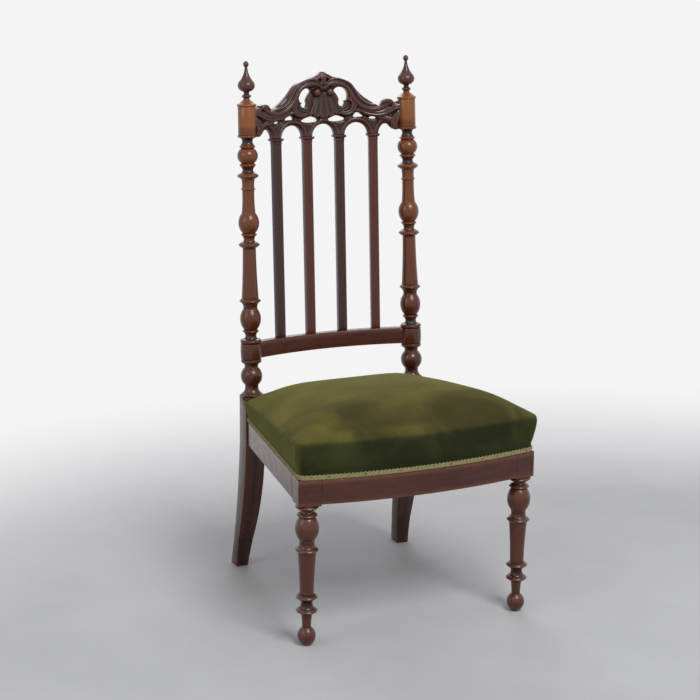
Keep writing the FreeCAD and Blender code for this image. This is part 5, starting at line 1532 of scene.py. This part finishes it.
# %% Pleats and the hollow below
PLEATS, PLEAT_WIDE = ((22, 1.5), (46, 2.0), (68, 1.2)), 6.5  # degrees round, mm deep
points = mesh_points(seat.data)
rise = points[:, 2] / MM - RAIL_TOP
across, along = points[:, 0] / MM, (points[:, 1] - DATUM_Y) / MM
corner_x = side_x(-SEAT_DEPTH) - FRONT_CORNER
corner_y = bow_y(side_x(-SEAT_DEPTH)) + FRONT_CORNER
turn = np.degrees(np.arctan2(corner_y - along, np.abs(across) - corner_x))
off_corner = np.hypot(np.abs(across) - corner_x, along - corner_y)
fading = np.clip((62 - rise) / 40, 0, 1) * np.clip((rise - 9) / 6, 0, 1)
depth = sum(deep * np.exp(-((turn - middle) / PLEAT_WIDE) ** 2) for middle, deep in PLEATS)
depth *= fading * (off_corner < 30) * (off_corner > 8)
inwards = np.column_stack((np.sign(across) * (np.abs(across) - corner_x),
                           along - corner_y, np.zeros(len(points))))
inwards /= np.maximum(np.linalg.norm(inwards, axis=1), 1e-6)[:, None]
points -= inwards * depth[:, None] * MM
move_points(seat.data, points)
apply_modifier(seat, "SUBSURF", levels=1, render_levels=1)
strip_room = raised("strip_room", [seat_ring(3.7, rise) for rise in (-3, 14.5)])
cut_away(seat, strip_room)
smooth_by_angle(seat, 60)
store_relief(seat, 60, 1.2)
finish(seat, velvet, "velvet", "velvet_cover", "seat_stuffing")

# %% [markdown]
# Gimp is a narrow woven braid that hides the cover's tacked edge. Real gimp has a flat
# ground and two cords that wave across it, which make its scalloped edge. The ground is a
# long grid whose rows are laid along the seat's outline, four points to a row, and closed
# to a band with a scalloped top. Each cord is a curve with a round bevel, turned into a
# mesh.

# %% Gimp braid
GIMP_LOW, GIMP_HIGH, GIMP_IN, GIMP_OUT = 1.0, 10.5, 1.2, 0.1
SCALLOP = 8.0
GIMP_TURN = -SEAT_DEPTH + FRONT_CORNER + 1
GIMP_SIDES = (
    # name, which part of the ring
    ("front", lambda x, y: y < GIMP_TURN),
    ("right", lambda x, y: GIMP_TURN < y < -0.6 and x > 0),
    ("left", lambda x, y: GIMP_TURN < y < -0.6 and x < 0),
    ("back", lambda x, y: y > 20 and abs(x) < POST_INNER - 1),
)


def walked(path, step):
    """Points at an even step along a path."""
    path = np.array(path)
    far = np.concatenate(([0], np.cumsum(np.linalg.norm(np.diff(path, axis=0), axis=1))))
    count = max(8, round(far[-1] / step))
    even = np.linspace(0, far[-1], count)
    return even, np.column_stack([np.interp(even, far, path[:, axis]) for axis in (0, 1)])


def braid_path(belongs, inset):
    ring = seat_plan(inset)
    fine = []
    for (x0, y0), (x1, y1) in zip(ring, ring[1:] + ring[:1]):
        fine += [(x0 + (x1 - x0) * n / 24, y0 + (y1 - y0) * n / 24) for n in range(24)]
    inside = [belongs(x, y) for x, y in fine]
    start = next(n for n in range(len(fine)) if inside[n] and not inside[n - 1])
    turned_ring = fine[start:] + fine[:start]
    return [point for point in turned_ring if belongs(*point)]


# %% [markdown]
# A braid is made side by side, because the posts interrupt it. Its path is the part of the
# seat's outline that belongs to the side, walked at an even step.

# %% The braid's ground and cords
GROUND_STEP, CORD_THICK, CORD_SWING, CORD_WEAVE = 1.0, 1.9, 3.9, 0.35


def braid_ground(name, belongs):
    far, outer = walked(braid_path(belongs, GIMP_OUT), GROUND_STEP)
    _, inner = walked(braid_path(belongs, GIMP_IN), GROUND_STEP)
    inner = inner[np.linspace(0, len(inner) - 1, len(outer)).round().astype(int)]
    top = GIMP_HIGH - 2.2 + 1.0 * np.abs(np.sin(far / SCALLOP * math.pi))
    rings = []
    for n in range(len(outer)):
        (ox, oy), (ix, iy) = outer[n], inner[n]
        rings.append([spot(ix, iy, RAIL_TOP + GIMP_LOW), spot(ox, oy, RAIL_TOP + GIMP_LOW),
                      spot(ox, oy, RAIL_TOP + top[n] - 0.4), spot(ix, iy, RAIL_TOP + top[n])])
    start_clean()
    bpy.ops.mesh.primitive_grid_add(x_subdivisions=4, y_subdivisions=len(rings) - 1, size=1)
    ground = bpy.context.object
    ground.name = name
    shape = bmesh.new()
    shape.from_mesh(ground.data)
    order = sorted(shape.verts, key=lambda v: (round(v.co.y, 6), v.co.x))
    for number, vertex in enumerate(order):
        row, column = divmod(number, 5)
        vertex.co = rings[row][column % 4]
    bmesh.ops.remove_doubles(shape, verts=shape.verts, dist=1e-6)
    bmesh.ops.holes_fill(shape, edges=shape.edges)
    shape.to_mesh(ground.data)
    shape.free()
    tidy_faces(ground)
    return ground


def braid_cord(name, belongs, phase):
    far, path = walked(braid_path(belongs, GIMP_OUT - 0.3), SCALLOP / 10)
    middle = (GIMP_LOW + GIMP_HIGH) / 2 + 0.3
    rise = middle + CORD_SWING * np.sin(far / SCALLOP * math.pi + phase)
    weave = CORD_WEAVE * np.cos(far / SCALLOP * 2 * math.pi + phase * 2)
    way = np.gradient(path, axis=0)
    way /= np.linalg.norm(way, axis=1)[:, None]
    out = np.column_stack((way[:, 1], -way[:, 0]))
    path = path + out * weave[:, None]
    curve = bpy.data.curves.new(name, "CURVE")
    curve.dimensions = "3D"
    curve.bevel_depth = CORD_THICK / 2 * MM
    curve.bevel_resolution = 1
    curve.use_fill_caps = True
    spline = curve.splines.new("POLY")
    spline.points.add(len(path) - 1)
    for point, (x, y), high in zip(spline.points, path, rise):
        point.co = (*spot(x, y, RAIL_TOP + high), 1)
    cord = bpy.data.objects.new(name, curve)
    bpy.context.collection.objects.link(cord)
    only(cord)
    bpy.ops.object.convert(target="MESH")
    return bpy.context.object


# %% [markdown]
# The gimp is greenish beige cotton with slanting threads, soiled in patches, with painted
# shade in the hollows between its cords and its ground. Each side joins a ground and two
# cords into one piece.

# %% Four lengths of gimp
gimp, tree, shader = new_material("gimp_braid")
place = object_place(tree)
threads = put(tree, "TexWave", {"Vector": place, "Scale": 260, "Distortion": 2.0,
                                "Detail": 2.0}, bands_direction="DIAGONAL").outputs["Fac"]
soiling = noise(tree, place, 22, 4, 0.6)
colour = mixed(tree, spread(tree, threads, 0.2, 0.8), paint(112, 104, 66),
               paint(176, 164, 118))
colour = mixed(tree, spread(tree, soiling, 0.4, 0.7, 0.0, 0.4), colour, paint(128, 134, 84))
# Painted shade darkens the hollows between the cords and the ground.
colour = mixed(tree, spread(tree, stored(tree), 0.52, 0.85, 0.0, 0.6), colour,
               paint(74, 72, 40))
dress(tree, shader, colour, spread(tree, threads, 0.0, 1.0, 0.7, 0.9), threads, 0.0003, 0.7,
      {"Sheen Weight": 0.2, "Specular IOR Level": 0.2})
for side_name, belongs in GIMP_SIDES:
    braid = joined(f"braid_{side_name}",
                   braid_ground("ground", belongs), braid_cord("cord", belongs, 0.0),
                   braid_cord("second_cord", belongs, math.pi))
    smooth_by_angle(braid, 50)
    store_relief(braid, 8, 0.5)
    finish(braid, gimp, "gimp", f"gimp_{side_name}")

# %% [markdown]
# A thin dark cloth is tacked flat under the rails to catch the dust. Its outline follows
# the seat's plan at an inset and is raised by the cloth's thickness, and boxes notch its
# corners round the legs and posts.

# %% Bottom cloth
CLOTH_INSET, CLOTH_FOOT, CLOTH_THICK = 19.0, 280.3, 0.8


def woven(tree, place, scale, distortion, how):
    """Two crossing sets of threads. MULTIPLY joins them tightly and MAXIMUM openly."""
    return sums(tree, how, *[
        put(tree, "TexWave", {"Vector": place, "Scale": scale, "Distortion": distortion},
            bands_direction=axis).outputs["Fac"] for axis in "XY"])


bottom_cloth = raised("bottom_dust_cloth", [
    [spot(x, y, height) for x, y in seat_plan(CLOTH_INSET, corner=6.0)]
    for height in (CLOTH_FOOT, CLOTH_FOOT + CLOTH_THICK)])
for sign in (1, -1):
    for low, high in (((INNER_X - 2) * sign, -480), (270 * sign, BLOCK_BACK + 2)), \
                     (((POST_INNER - 2) * sign, -2), (270 * sign, 90)):
        cut_away(bottom_cloth, box_between("cloth_notch", spot(*low, 270), spot(*high, 290)))
tidy_faces(bottom_cloth)
dust_cloth, tree, shader = new_material("dust_cloth")
place = object_place(tree)
weave = woven(tree, place, 320, 1.0, "MULTIPLY")
dusty = noise(tree, place, 14, 4, 0.6)
colour = mixed(tree, spread(tree, weave, 0.0, 0.8), paint(58, 50, 40), paint(122, 108, 84))
colour = mixed(tree, spread(tree, dusty, 0.4, 0.7, 0.0, 0.5), colour, paint(150, 138, 112))
dress(tree, shader, colour, spread(tree, dusty, 0.3, 0.7, 0.8, 0.95), weave, 0.0003, 0.6)
finish(bottom_cloth, dust_cloth, "canvas", "bottom_cloth")
wide, long = (float(size) for size in np.ptp(mesh_points(bottom_cloth.data), axis=0)[:2])

# %% [markdown]
# The hidden parts keep their imported shapes and only get finishes: plain beech for the
# corner blocks, dull steel for screws and tacks, coppered steel for the springs, woven jute
# for webbing and canvas, and dark old brass for the small round nails in the braid.

# %% Finishes for the parts that stay
woven_jute, tree, shader = new_material("woven_jute")
weave = woven(tree, object_place(tree), 170, 1.5, "MAXIMUM")
colour = mixed(tree, spread(tree, weave, 0.3, 1.0), paint(92, 74, 48), paint(168, 142, 100))
dress(tree, shader, colour, spread(tree, weave, 0.0, 1.0, 0.95, 0.8), weave, 0.0005, 0.7)


def old_metal(name, clean, tarnish, rough):
    material, tree, shader = new_material(name)
    spots = noise(tree, object_place(tree), 420, 4, 0.65)
    colour = mixed(tree, spread(tree, spots, 0.38, 0.62), clean, tarnish)
    dress(tree, shader, colour, spread(tree, spots, 0.3, 0.7, rough, rough + 0.25), spots,
          0.0001, 0.4, {"Metallic": 1.0})
    return material


dull_steel = old_metal("dull_steel", paint(150, 150, 152), paint(96, 84, 74), 0.35)
coppered_steel = old_metal("coppered_steel", paint(156, 120, 96), paint(96, 78, 66), 0.4)
aged_brass = old_metal("aged_brass", paint(140, 112, 62), paint(58, 44, 26), 0.35)
KEPT = {
    plain_beech: ["corner_block_front_left", "corner_block_front_right",
                  "corner_block_rear_left", "corner_block_rear_right"],
    dull_steel: ["corner_block_screws", "webbing_tacks", "bottom_cloth_tacks"],
    coppered_steel: ["seat_springs"],
    aged_brass: ["gimp_nails"],
    woven_jute: ["webbing_across", "webbing_front_to_back", "spring_canvas"],
}
for material, node_names in KEPT.items():
    for node in node_names:
        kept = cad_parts[node]
        kept.data.materials.clear()
        kept.data.materials.append(material)
print("kept nodes with a finish:", sum(map(len, KEPT.values())))
